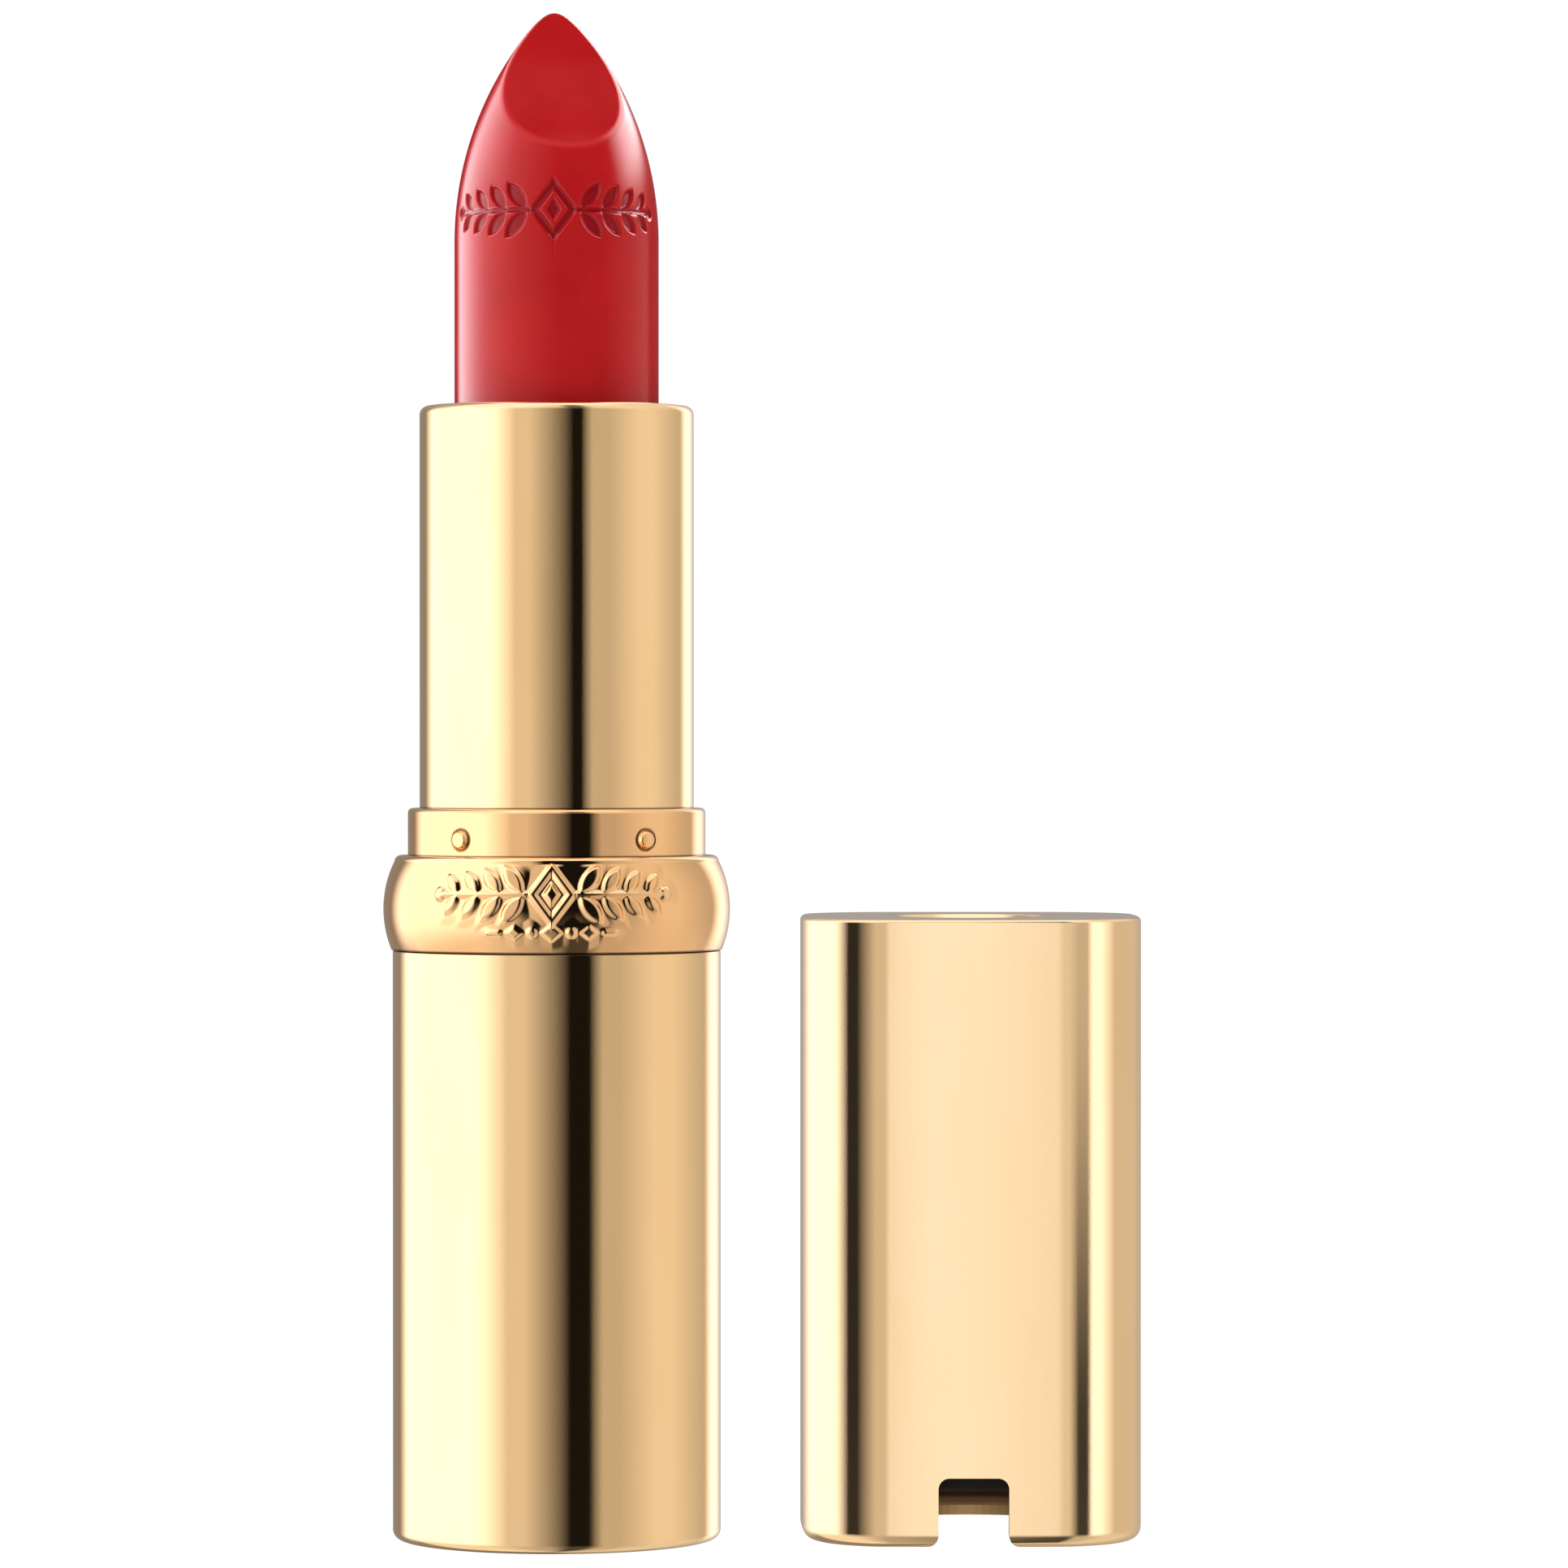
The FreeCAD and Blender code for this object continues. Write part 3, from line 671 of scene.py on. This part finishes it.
def lipstick_stick():
    """Round stick, ogive tip cut by one slanted hollow face, with the sprig pressed in at the front."""
    length = 33.28          # as if the tip were not rounded off
    cone = math.radians(36.0)
    arc = 20.0              # radius of the ogive
    scoop = 18.0            # radius of the hollow face
    scoop_drop = 8.35       # from the tip to the face's lower end
    fillet = 0.2
    turn = math.radians(10.0)
    tip = STICK_LOW + length
    shoulder = tip - 13.8
    cone_r = STICK_R - arc * (1 - math.cos(cone))
    cone_z = shoulder + arc * math.sin(cone)
    apex = cone_z + cone_r / math.tan(cone)

    back_y = (apex - tip) * math.tan(cone)
    front_z = tip - scoop_drop
    front_y = -(STICK_R - arc + math.sqrt(arc ** 2 - (front_z - shoulder) ** 2))
    chord = Vector((front_y - back_y, front_z - tip))
    outward = Vector((chord.y, -chord.x)).normalized()
    middle = Vector(((front_y + back_y) / 2, (front_z + tip) / 2))
    hub = middle + outward * math.sqrt(scoop ** 2 - (chord.length / 2) ** 2)

    def solid(p):
        """Negative inside: the ogive cut by the scoop, their shared edge rounded."""
        away = np.hypot(p[..., 0], p[..., 1])
        height = p[..., 2] - shoulder
        body = away - STICK_R
        curved = np.hypot(away - (STICK_R - arc), height) - arc
        straight = (away - cone_r) * math.cos(cone) + (p[..., 2] - cone_z) * math.sin(cone)
        lean = np.arctan2(height, away - (STICK_R - arc))
        ogive = np.where(height < 0, body, np.where(lean > cone, straight, curved))
        y = p[..., 1] * math.cos(turn) - p[..., 0] * math.sin(turn)
        hollow = scoop - np.hypot(y - hub.x, p[..., 2] - hub.y)
        both = np.hypot(np.maximum(ogive + fillet, 0), np.maximum(hollow + fillet, 0))
        return ogive, hollow, np.minimum(-fillet, np.maximum(ogive, hollow)) + both

    def slope(p):
        step = 1e-3
        out = np.zeros_like(p)
        for axis in range(3):
            shift = np.zeros(3)
            shift[axis] = step
            out[..., axis] = solid(p + shift)[2] - solid(p - shift)[2]
        return out / np.linalg.norm(out, axis=-1, keepdims=True)

    def reach(ways, which):
        low = np.zeros(ways.shape[:-1])
        high = np.full(ways.shape[:-1], 14.0)
        for _ in range(36):
            t = (low + high) / 2
            inside = solid(origin + ways * t[..., None])[which] < 0
            low = np.where(inside, t, low)
            high = np.where(inside, high, t)
        return (low + high) / 2

    angles = azimuths(2.0, [(0, 74, 0.5)])
    out = np.stack([np.cos(angles), np.sin(angles)], axis=1)
    seam = front_z - 1.3
    mark_z = shoulder + 1.6
    mark_low = mark_z - 1.9
    heights = list(np.arange(STICK_LOW + 0.4, mark_low, 1.6)) + list(np.arange(mark_low, seam, 0.075))
    rings = [np.array([[0.0, 0.0, STICK_LOW]])]
    normals = [np.tile([0.0, 0.0, -1.0], (len(angles), 1))]
    flat = normals[0]
    rings.append(np.column_stack([out * (STICK_R - 0.2), np.full(len(angles), STICK_LOW)]))
    normals.append(flat)
    for z in heights:
        height = max(0.0, z - shoulder)
        radius = STICK_R - arc + math.sqrt(arc ** 2 - height ** 2)
        lean = math.asin(height / arc)
        rings.append(np.column_stack([out * radius, np.full(len(angles), z)]))
        normals.append(np.column_stack([out * math.cos(lean), np.full(len(angles), math.sin(lean))]))
    first_row, last_row = 2, len(rings) - 1

    origin = np.array([0.0, 0.0, seam])
    low = np.zeros(len(angles))
    high = np.full(len(angles), math.pi / 2)
    for _ in range(30):
        rise = (low + high) / 2
        ways = np.column_stack([out * np.cos(rise)[:, None], np.sin(rise)])
        on_ogive = reach(ways, 0) < reach(ways, 1)
        low = np.where(on_ogive, rise, low)
        high = np.where(on_ogive, high, rise)
    rim = (low + high) / 2
    shares = [1 - (1 - k / 26) ** 1.7 for k in range(1, 27)]
    rises = [rim * s for s in shares]
    rises += [rim + (math.pi / 2 - rim) * (k / 30) ** 1.6 for k in range(1, 30)]
    for rise in rises:
        ways = np.column_stack([out * np.cos(rise)[:, None], np.sin(rise)])
        points = origin + ways * reach(ways, 2)[:, None]
        rings.append(points)
        normals.append(slope(points))
    peak = np.array([[0.0, 0.0, 1.0]])
    top = origin + peak * reach(peak, 2)[:, None]
    rings.append(top)
    normals.append(np.tile(slope(top), (len(angles), 1)))

    bands = []
    for k in range(len(rings) - 1):
        low_n, high_n = (flat, flat) if k == 0 else (normals[k], normals[k + 1])
        bands.append((k, k + 1, low_n, high_n))

    def pressed(angle, height):
        return -PRESS * smooth(0.1, -0.1, sprig(angle * STICK_R, height - mark_z))

    pushed = relief(rings, bands, range(first_row, last_row), pressed)
    # how far each point is pressed in, used as painted shade by the wax
    painted_recess_shade = [-pushed[r] / PRESS if r in pushed else 0.0 for r in range(len(rings))]
    # painted highlight on the rounded rim of the cut face
    painted_rim_highlight = []
    for ring in rings:
        ogive, hollow, both = solid(ring)
        off_edge = np.abs(ogive - hollow) / fillet
        painted_rim_highlight.append(np.where(ring[:, 2] > seam, smooth(1.1, 0.2, off_edge), 0.0))
    marks = {"painted_recess_shade": painted_recess_shade, "painted_rim_highlight": painted_rim_highlight}
    skin("lipstick_stick", rings, bands, "carrier", wax, ["lipstick_bullet"], marks)


lipstick_stick()


# ---- cap ------------------------------------------------------------------------------------------
CAP_CORNER = 5.4        # radius of the outline's corners
CAP_SIDE = 90.0         # radius of its slightly bowed sides
SIDE_CENTRE = CAP_HALF - CAP_SIDE
CORNER_C = (SIDE_CENTRE + math.sqrt(2 * (CAP_SIDE - CAP_CORNER) ** 2 - SIDE_CENTRE ** 2)) / 2
LEAN = math.atan2(CORNER_C, CORNER_C - SIDE_CENTRE)      # where a side's arc meets a corner's
CAP_TOP_R = 0.2
CAP_FOOT_R = 0.8
BEZEL_R = 4.9


def cap_ring(inset):
    """Points (x, y) and normals of the cap's rounded-square outline, counter-clockwise."""
    points = []
    for quarter in range(4):
        turn = Matrix.Rotation(math.pi / 2 * quarter, 2)
        for k in range(18):
            a = -LEAN + 2 * LEAN * k / 18
            n = Vector((math.cos(a), math.sin(a)))
            p = Vector((SIDE_CENTRE, 0)) + n * (CAP_SIDE - inset)
            points.append((turn @ p, turn @ n))
        for k in range(30):
            a = LEAN + (math.pi / 2 - 2 * LEAN) * k / 30
            n = Vector((math.cos(a), math.sin(a)))
            p = Vector((CORNER_C, CORNER_C)) + n * (CAP_CORNER - inset)
            points.append((turn @ p, turn @ n))
    return points


def circle_ring(radius):
    """Points of a circle in step with cap_ring."""
    out = []
    for p, n in cap_ring(0):
        out.append((p.normalized() * radius, p.normalized()))
    return out


def cap_normal(x, y, z):
    """Normal of the cap's outside, by arcs of its outline and its two level fillets."""
    ax, ay = abs(x), abs(y)
    if ax - CORNER_C > 0 and ay - CORNER_C > 0 and math.atan2(ay - CORNER_C, ax - CORNER_C) > LEAN \
            and math.atan2(ax - CORNER_C, ay - CORNER_C) > LEAN:
        n = Vector((ax - CORNER_C, ay - CORNER_C))
    elif ax > ay:
        n = Vector((ax - SIDE_CENTRE, ay))
    else:
        n = Vector((ax, ay - SIDE_CENTRE))
    n.normalize()
    n = Vector((math.copysign(n.x, x), math.copysign(n.y, y)))
    up = 0.0
    if z > CAP_H - CAP_TOP_R:
        up = min(1.0, (z - (CAP_H - CAP_TOP_R)) / CAP_TOP_R)
    if z < CAP_FOOT_R:
        up = -min(1.0, (CAP_FOOT_R - z) / CAP_FOOT_R)
    flat = math.sqrt(max(0.0, 1 - up * up))
    return Vector((n.x * flat, n.y * flat, up))


def notch_cutter():
    """Closed prism of the front notch: rounded above, flared at the foot."""
    half, height, inner, flare = 4.15 / 2, 4.1, 0.65, 0.75
    quarter = [math.radians(9 * k) for k in range(11)]
    right = [(half + 2 * flare, -1.0), (half + 2 * flare, 0.0)]
    right += [(half + flare * (1 - math.sin(a)), flare * (1 - math.cos(a))) for a in quarter]
    right += [(half - inner * (1 - math.cos(a)), height - inner * (1 - math.sin(a))) for a in quarter]
    outline = right + [(-x, z) for x, z in reversed(right)]
    n = len(outline)
    verts = [(CAP_X + x, CAP_Y + y, z) for y in (-CAP_HALF - 1, -1.0) for x, z in outline]
    faces = [tuple(range(n)), tuple(range(2 * n - 1, n - 1, -1))]
    for k in range(n):
        m = (k + 1) % n
        faces.append((m, k, n + k, n + m))
    return new_object("notch_cutter", new_mesh("notch_cutter", verts, faces))


def cap_casing():
    """Deep-drawn cap shell: rounded square, window for the bezel above, lip turned in below."""
    rings = []

    def ring(points, z):
        rings.append(np.array([[CAP_X + p.x, CAP_Y + p.y, z] for p, n in points]))

    bore = COLLAR_R + 0.28
    window = BEZEL_R + 0.02
    lip = 0.6           # height of the lip turned in at the foot
    ring(circle_ring(bore), 0.0)
    for k in range(9):
        a = math.radians(90 * k / 8)
        ring(cap_ring(CAP_FOOT_R * (1 - math.sin(a))), CAP_FOOT_R * (1 - math.cos(a)))
    for z in np.linspace(CAP_FOOT_R, CAP_H - CAP_TOP_R, 18)[1:]:
        ring(cap_ring(0), z)
    for k in range(1, 7):
        a = math.radians(90 * k / 6)
        ring(cap_ring(CAP_TOP_R * (1 - math.cos(a))), CAP_H - CAP_TOP_R + CAP_TOP_R * math.sin(a))
    outer = cap_ring(CAP_TOP_R)
    inner = circle_ring(window)
    for share in (0.25, 0.5, 0.75):
        ring([(a[0].lerp(b[0], share), None) for a, b in zip(outer, inner)], CAP_H)
    ring(inner, CAP_H)
    ring(inner, CAP_H - WALL)
    hollow = cap_ring(WALL)
    ring([(a[0].lerp(b[0], 0.5), None) for a, b in zip(inner, hollow)], CAP_H - WALL)
    for z in np.linspace(CAP_H - WALL, lip, 9):
        ring(hollow, z)
    ring(circle_ring(bore), lip)
    n = len(rings[0])
    faces = []
    for r in range(len(rings)):
        s = (r + 1) % len(rings)
        for k in range(n):
            m = (k + 1) % n
            faces.append((r * n + k, r * n + m, s * n + m, s * n + k))
    mesh = new_mesh("cap_casing", np.concatenate(rings), faces)
    mesh.update()
    obj = piece("cap_casing", mesh, "cap", cap_gold, ["cap_shell"])
    cutter = notch_cutter()
    cut = obj.modifiers.new("notch", "BOOLEAN")
    cut.operation = "DIFFERENCE"
    cut.solver = "EXACT"
    cut.object = cutter
    bpy.context.view_layer.update()
    graph = bpy.context.evaluated_depsgraph_get()
    done = bpy.data.meshes.new_from_object(obj.evaluated_get(graph))
    obj.modifiers.clear()
    obj.data = done
    bpy.data.objects.remove(cutter)
    done.name = "cap_casing"
    if not done.materials:
        done.materials.append(cap_gold)
    done.materials.append(cap_inside_shade)
    normals = []
    for p in done.polygons:
        p.use_smooth = True
        inward = p.center / MM - Vector((CAP_X, CAP_Y, 0))
        level = abs(p.normal.z) < 0.5 and p.normal.x * inward.x + p.normal.y * inward.y < 0
        # faces turned in toward the bore low in the cap take the darker gold, painted shade
        p.material_index = 1 if level and inward.z < 1.0 else 0
        for v in p.vertices:
            x, y, z = (c / MM for c in done.vertices[v].co)
            round_way = cap_normal(x - CAP_X, y - CAP_Y, z)
            if p.normal.dot(round_way) > 0.85:
                normals.append(round_way)
            else:
                normals.append(p.normal.copy())
    done.normals_split_custom_set([tuple(v) for v in normals])
    rise = np.array([v.co.z / MM for v in done.vertices])
    worn = smooth(CAP_H - 1.4 * CAP_TOP_R, CAP_H - 0.3 * CAP_TOP_R, rise) * (rise < CAP_H - 0.01)
    layer = done.attributes.new("worn", "FLOAT", "POINT")
    layer.data.foreach_set("value", worn.astype(np.float32))
    done.update()


cap_casing()

PLAY = 0.02             # between the bezel and the disc
BEZEL_IN = DISC_HIGH.x - CAP_X + PLAY
BEZEL_FOOT = BEZEL_HIGH - 2.1
SEAT_IN = BEZEL_IN - 0.7
SEAT_Z = DISC_LOW.z - PLAY
FLANGE_R = 6.9          # the bezel's flange, under the cap's top
FLANGE_LOW, FLANGE_HIGH = BEZEL_HIGH - 0.97, BEZEL_HIGH - 0.47
BEVEL = 0.35
GROOVE_R = 2.95         # middle of the thin groove turned in the disc

lathe("bezel_ring", [
    (SEAT_IN, BEZEL_FOOT), (BEZEL_R, BEZEL_FOOT), (BEZEL_R, FLANGE_LOW),
    (FLANGE_R, FLANGE_LOW), (FLANGE_R, FLANGE_HIGH), (BEZEL_R, FLANGE_HIGH),
    (BEZEL_R, BEZEL_HIGH, EDGE), (BEZEL_IN + BEVEL, BEZEL_HIGH, 0.8 * EDGE),
    (BEZEL_IN, BEZEL_HIGH - BEVEL, EDGE), (BEZEL_IN, SEAT_Z), (SEAT_IN, SEAT_Z),
], "cap", bezel_gold, ["cap_bezel_ring"], (CAP_X, CAP_Y))

lathe("inlaid_disc", [
    (0, DISC_LOW.z), (BEZEL_IN - PLAY, DISC_LOW.z), (BEZEL_IN - PLAY, DISC_HIGH.z, 0.12),
    (GROOVE_R + 0.15, DISC_HIGH.z), (GROOVE_R, DISC_HIGH.z - 0.1, 0.05), (GROOVE_R - 0.15, DISC_HIGH.z),
    (0, DISC_HIGH.z),
], "cap", bezel_gold, ["cap_disc"], (CAP_X, CAP_Y))


# ---- CAD nodes that keep their own shape --------------------------------------------------------
KEPT = {
    "base_liner": liner_plastic, "band_core": liner_plastic, "collar_core": liner_plastic,
    "cap_liner": lining, "guide_sleeve": white_plastic, "spiral_sleeve": white_plastic,
    "retaining_ring": white_plastic, "carrier_cup": cup_plastic, "friction_ring_lower": ring_silicone,
    "friction_ring_upper": ring_silicone, "base_weight": steel, "cap_weight": steel, "shade_label": film,
}
for node, material in KEPT.items():
    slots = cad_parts[node].data.materials
    if not slots:
        slots.append(material)
    for k in range(len(slots)):
        slots[k] = material


# ---- stage ----------------------------------------------------------------------------------------
def stage_mesh(name, verts, faces, material):
    mesh = new_mesh(name, verts, faces)
    mesh.materials.append(material)
    obj = new_object(name, mesh)
    return obj


def white_floor():
    material, net = new_material("white_floor")
    matt = net.add("ShaderNodeBsdfDiffuse", {"Color": (0.26, 0.255, 0.25, 1)})
    glow = net.add("ShaderNodeEmission", {"Color": (1, 1, 1, 1), "Strength": 1.0})
    both = net.add("ShaderNodeAddShader", {0: matt.outputs[0], 1: glow.outputs[0]})
    net.add("ShaderNodeOutputMaterial", {"Surface": both.outputs[0]})
    material.cycles.emission_sampling = "NONE"
    half = 4000
    z = -0.02       # clear of the faces that stand on it
    corners = [(-half, -half, z), (half, -half, z), (half, half, z), (-half, half, z)]
    floor = stage_mesh("floor", corners, [(0, 1, 2, 3)], material)
    floor.visible_glossy = False


white_floor()


def light_tent(name, centre, radius, zones, swing):
    """Closed tall cylinder round one object that only mirror-like rays see, from the inside.

    It stands for the strip lights, black cards and cream walls of the studio. What it shows
    depends on the way a reflection leaves, measured from the camera, and on the height of the
    surface that it leaves. A zone is (bottom, fade, level light, low light, high light, light from
    straight above, climb where the high light starts, climb where it is full)."""
    material, net = new_material(name)
    geometry = net.add("ShaderNodeNewGeometry")
    away = net.add("ShaderNodeVectorMath", {0: geometry.outputs["Incoming"], 1: (-1, -1, -1)},
                   operation="MULTIPLY").outputs[0]
    right = net.add("ShaderNodeVectorTransform", {0: (1, 0, 0)}, vector_type="VECTOR",
                    convert_from="CAMERA", convert_to="WORLD").outputs[0]
    axis = net.add("ShaderNodeSeparateXYZ", {0: right})
    to_camera = net.add("ShaderNodeCombineXYZ", {
        0: axis.outputs[1], 1: net.math("MULTIPLY", axis.outputs[0], -1.0)}).outputs[0]
    sideways, forward = (net.add("ShaderNodeVectorMath", {0: away, 1: way},
                                 operation="DOT_PRODUCT").outputs["Value"] for way in (right, to_camera))
    turn = net.math("SUBTRACT", net.math("ARCTAN2", sideways, forward), math.radians(swing))
    place = net.math("MULTIPLY_ADD", net.math("SINE", net.math("MULTIPLY", turn, 0.5)), 0.5, 0.5)
    climb = net.add("ShaderNodeSeparateXYZ", {0: away}).outputs[2]
    way_back = net.add("ShaderNodeLightPath").outputs["Ray Length"]
    left_from = net.add("ShaderNodeVectorMath", {0: geometry.outputs["Incoming"], 1: way_back,
                                                 2: geometry.outputs["Position"]}, operation="MULTIPLY_ADD")
    height = net.height(left_from.outputs[0])
    share = [net.span(height, zone[0] - zone[1], zone[0] + zone[1]) for zone in zones]
    lights = []
    for part in (2, 3, 4, 5):
        colour = None
        for k, zone in enumerate(zones):
            strip = net.ramp(place, zone[part])
            colour = net.mix(share[k], colour, strip) if k else strip
        lights.append(colour)
    starts, full = zones[0][6:]
    for k, zone in enumerate(zones[1:]):
        starts = net.math("MULTIPLY_ADD", share[k + 1], net.math("SUBTRACT", zone[6], starts), starts)
        full = net.math("MULTIPLY_ADD", share[k + 1], net.math("SUBTRACT", zone[7], full), full)
    level, low, high, overhead = lights
    colour = net.mix(net.span(climb, -0.08, -0.55), level, low)
    colour = net.mix(net.span(climb, starts, full), colour, high)
    colour = net.mix(net.span(climb, 0.84, 0.95), colour, overhead)
    glow = net.add("ShaderNodeEmission", {"Color": colour, "Strength": GAIN})
    clear = net.add("ShaderNodeBsdfTransparent", {"Color": (1, 1, 1, 1)})
    both = net.add("ShaderNodeMixShader", {0: geometry.outputs["Backfacing"], 1: clear.outputs[0],
                                          2: glow.outputs[0]})
    net.add("ShaderNodeOutputMaterial", {"Surface": both.outputs[0]})
    material.cycles.emission_sampling = "NONE"
    n = 96
    bottom, top = -6.0, 170.0
    verts = []
    for z in (bottom, top):
        for k in range(n):
            a = 2 * math.pi * k / n
            verts.append((centre[0] + radius * math.cos(a), centre[1] + radius * math.sin(a), z))
    faces = [tuple(range(n - 1, -1, -1)), tuple(range(n, 2 * n))]
    for k in range(n):
        m = (k + 1) % n
        faces.append((k, m, n + m, n + k))
    tent = stage_mesh(name, verts, faces, material)
    for ray in ("camera", "diffuse", "transmission", "volume_scatter", "shadow"):
        setattr(tent, "visible_" + ray, False)


GAIN = 8.0          # the brightest a tent can be
LAMP_TONE = (1.0, 1.0, 1.05)
WALL_TONE = (1.0, 0.92, 0.84)


def studio(*parts):
    """Ramp of light strengths: even parts (from, to, strength), each fading into the next.

    Strengths above 1 are lamps and white, weaker ones are walls and cards, and warm."""
    stops = []
    for start, end, strength in parts:
        tone = LAMP_TONE if strength > 1 else WALL_TONE
        colour = tuple(min(1.0, strength * t / GAIN) for t in tone) + (1.0,)
        for at in (start, end) if end > start else (start,):
            stops.append((0.5 + at / 2, colour))
    return stops


def case_studio(card_low, card_high):
    """Round the case: a wide lamp at the left, a black card, a pale wall and a thin lamp at the right."""
    return studio((-1.0, -0.95, 0.3), (-0.9, -0.5, 1.8), (-0.3, -0.2, 0.8), (card_low, card_high, 0.01),
                  (card_high + 0.08, 0.38, 0.6), (0.6, 0.7, 0.9), (0.88, 0.9, 0.6), (0.94, 0.96, 1.6),
                  (1.0, 1.0, 0.4))


def cap_studio(card):
    """Round the cap: lamps at the left, in the middle and right of it, a black card and a second card."""
    return studio((-1.0, -1.0, 0.4), (-0.9, -0.65, 1.7), (-0.5, -0.4, 0.03), (-0.2, -0.1, 0.7),
                  (-0.02, 0.02, 1.1), (0.15, 0.2, 0.8), (0.3, 0.4, card), (0.46, 0.54, 1.5),
                  (0.7, 0.9, 0.7), (1.0, 1.0, 0.5))


FROM_LOW = studio((-1.0, -0.9, 0.3), (-0.85, -0.5, 1.0), (-0.1, -0.05, 0.5), (0.08, 0.2, 0.08),
                  (0.3, 0.4, 0.6), (0.65, 0.85, 0.85), (1.0, 1.0, 0.5))
FROM_HIGH = studio((-1.0, -0.9, 0.5), (-0.85, -0.3, 1.25), (0.0, 0.02, 0.9), (0.1, 0.2, 0.2),
                   (0.3, 0.6, 1.0), (0.9, 1.0, 0.9))
OVERHEAD = studio((-1.0, 1.0, 1.25))
DARK = studio((-1.0, 1.0, 0.0))
STICK_LEVEL = studio((-1.0, -0.96, 0.0), (-0.94, -0.85, 4.6), (-0.7, -0.7, 2.0), (-0.5, -0.5, 0.9),
                     (0.0, 0.5, 0.0), (0.88, 0.88, 0.8), (0.9, 1.0, 0.1))
STICK_HIGH = studio((-1.0, -0.95, 0.1), (-0.92, -0.8, 4.6), (-0.5, -0.5, 1.2), (0.0, 0.62, 0.0),
                    (0.78, 0.96, 8.0), (1.0, 1.0, 1.0))
BAND_LIGHT = case_studio(-0.1, 0.25)
COLLAR_LIGHT = case_studio(0.1, 0.22)
LID_LEVEL = studio((-1.0, 1.0, 0.4))
LID_HIGH = studio((-1.0, 1.0, 0.95))
CLIMB = (0.1, 0.7)          # where the high light starts, and where it is full
STICK_CLIMB = (0.2, 0.36)
LID_CLIMB = (0.15, 0.5)
JOIN = 0.01                 # half the fade between two pieces that meet
CASE_SWING, CAP_SWING = 1.7, -0.3       # turn of each tent, in degrees

light_tent("case_tent", (0.0, 0.0), BAND_R + 1.4, [
    (0.0, 0.5, case_studio(0.08, 0.2), FROM_LOW, FROM_HIGH, OVERHEAD, *CLIMB),
    (BASE_TOP + JOIN, JOIN, BAND_LIGHT, FROM_LOW, BAND_LIGHT, OVERHEAD, *CLIMB),
    (BAND_TOP + JOIN, JOIN, COLLAR_LIGHT, BAND_LIGHT, FROM_HIGH, OVERHEAD, *CLIMB),
    (COLLAR_TOP + JOIN, JOIN, case_studio(0.12, 0.18), FROM_LOW, FROM_HIGH, OVERHEAD, *CLIMB),
    (TUBE_TOP + JOIN, JOIN, STICK_LEVEL, STICK_LEVEL, STICK_HIGH, DARK, *STICK_CLIMB),
], CASE_SWING)
light_tent("cap_tent", (CAP_X, CAP_Y), CAP_HALF + 2.6, [
    (0.0, 0.5, cap_studio(0.05), FROM_LOW, FROM_HIGH, OVERHEAD, *CLIMB),
    (CAP_H * 0.55, CAP_H * 0.4, cap_studio(0.6), FROM_LOW, FROM_HIGH, OVERHEAD, *CLIMB),
    (CAP_H - 0.04, 0.03, LID_LEVEL, LID_LEVEL, LID_HIGH, OVERHEAD, *LID_CLIMB),
], CAP_SWING)


# ---- camera, lights and world ------------------------------------------------------------------
VIEW_X = 13.48
EYE = Vector((VIEW_X, -450.0, 48.0)) * MM
AIM = Vector((VIEW_X, 0.0, 44.72)) * MM
camera = new_object("camera", bpy.data.cameras.new("camera"))
camera.location = EYE
camera.rotation_euler = (AIM - EYE).to_track_quat("-Z", "Y").to_euler()
camera.data.lens = 174.2
camera.data.sensor_width = 36.0
camera.data.clip_start = 0.01
camera.data.clip_end = 20.0
bpy.context.scene.camera = camera
bpy.context.view_layer.update()


def soft_box(name, place, target, size, power, colour):
    """Area light fixed to the camera, placed in its right, up and forward millimetres."""
    lamp = bpy.data.lights.new(name, "AREA")
    lamp.shape = "RECTANGLE"
    lamp.size, lamp.size_y = size[0] * MM, size[1] * MM
    lamp.energy = power
    lamp.color = colour
    obj = new_object(name, lamp)
    here = Vector((place[0], place[1], -place[2])) * MM
    there = Vector((target[0], target[1], -target[2])) * MM
    obj.parent = camera
    obj.location = here
    obj.rotation_euler = (there - here).to_track_quat("-Z", "Y").to_euler()
    obj.visible_glossy = False
    obj.visible_camera = False


soft_box("key_left", (-420, 120, 330), (0, 0, 450), (260, 420), 1.1, (1.0, 0.98, 0.96))
soft_box("edge_right", (380, 80, 430), (0, 0, 450), (160, 420), 0.5, (1.0, 0.99, 0.98))
soft_box("overhead", (-13, 440, 380), (-13, 40, 450), (200, 200), 1.1, (1.0, 0.99, 0.98))

world = bpy.data.worlds.new("studio")
bpy.context.scene.world = world
world.use_nodes = True
net = Net(world.node_tree)
seen = net.add("ShaderNodeLightPath").outputs["Is Camera Ray"]
white = net.add("ShaderNodeBackground", {"Color": (1, 1, 1, 1), "Strength": 1.0})
soft = net.add("ShaderNodeBackground", {"Color": (1.0, 0.99, 0.98, 1), "Strength": 0.27})
both = net.add("ShaderNodeMixShader", {0: seen, 1: soft.outputs[0], 2: white.outputs[0]})
net.add("ShaderNodeOutputWorld", {"Surface": both.outputs[0]})
world.cycles_visibility.glossy = False

bpy.context.scene.view_settings.view_transform = "Standard"
bpy.context.scene.view_settings.look = "None"
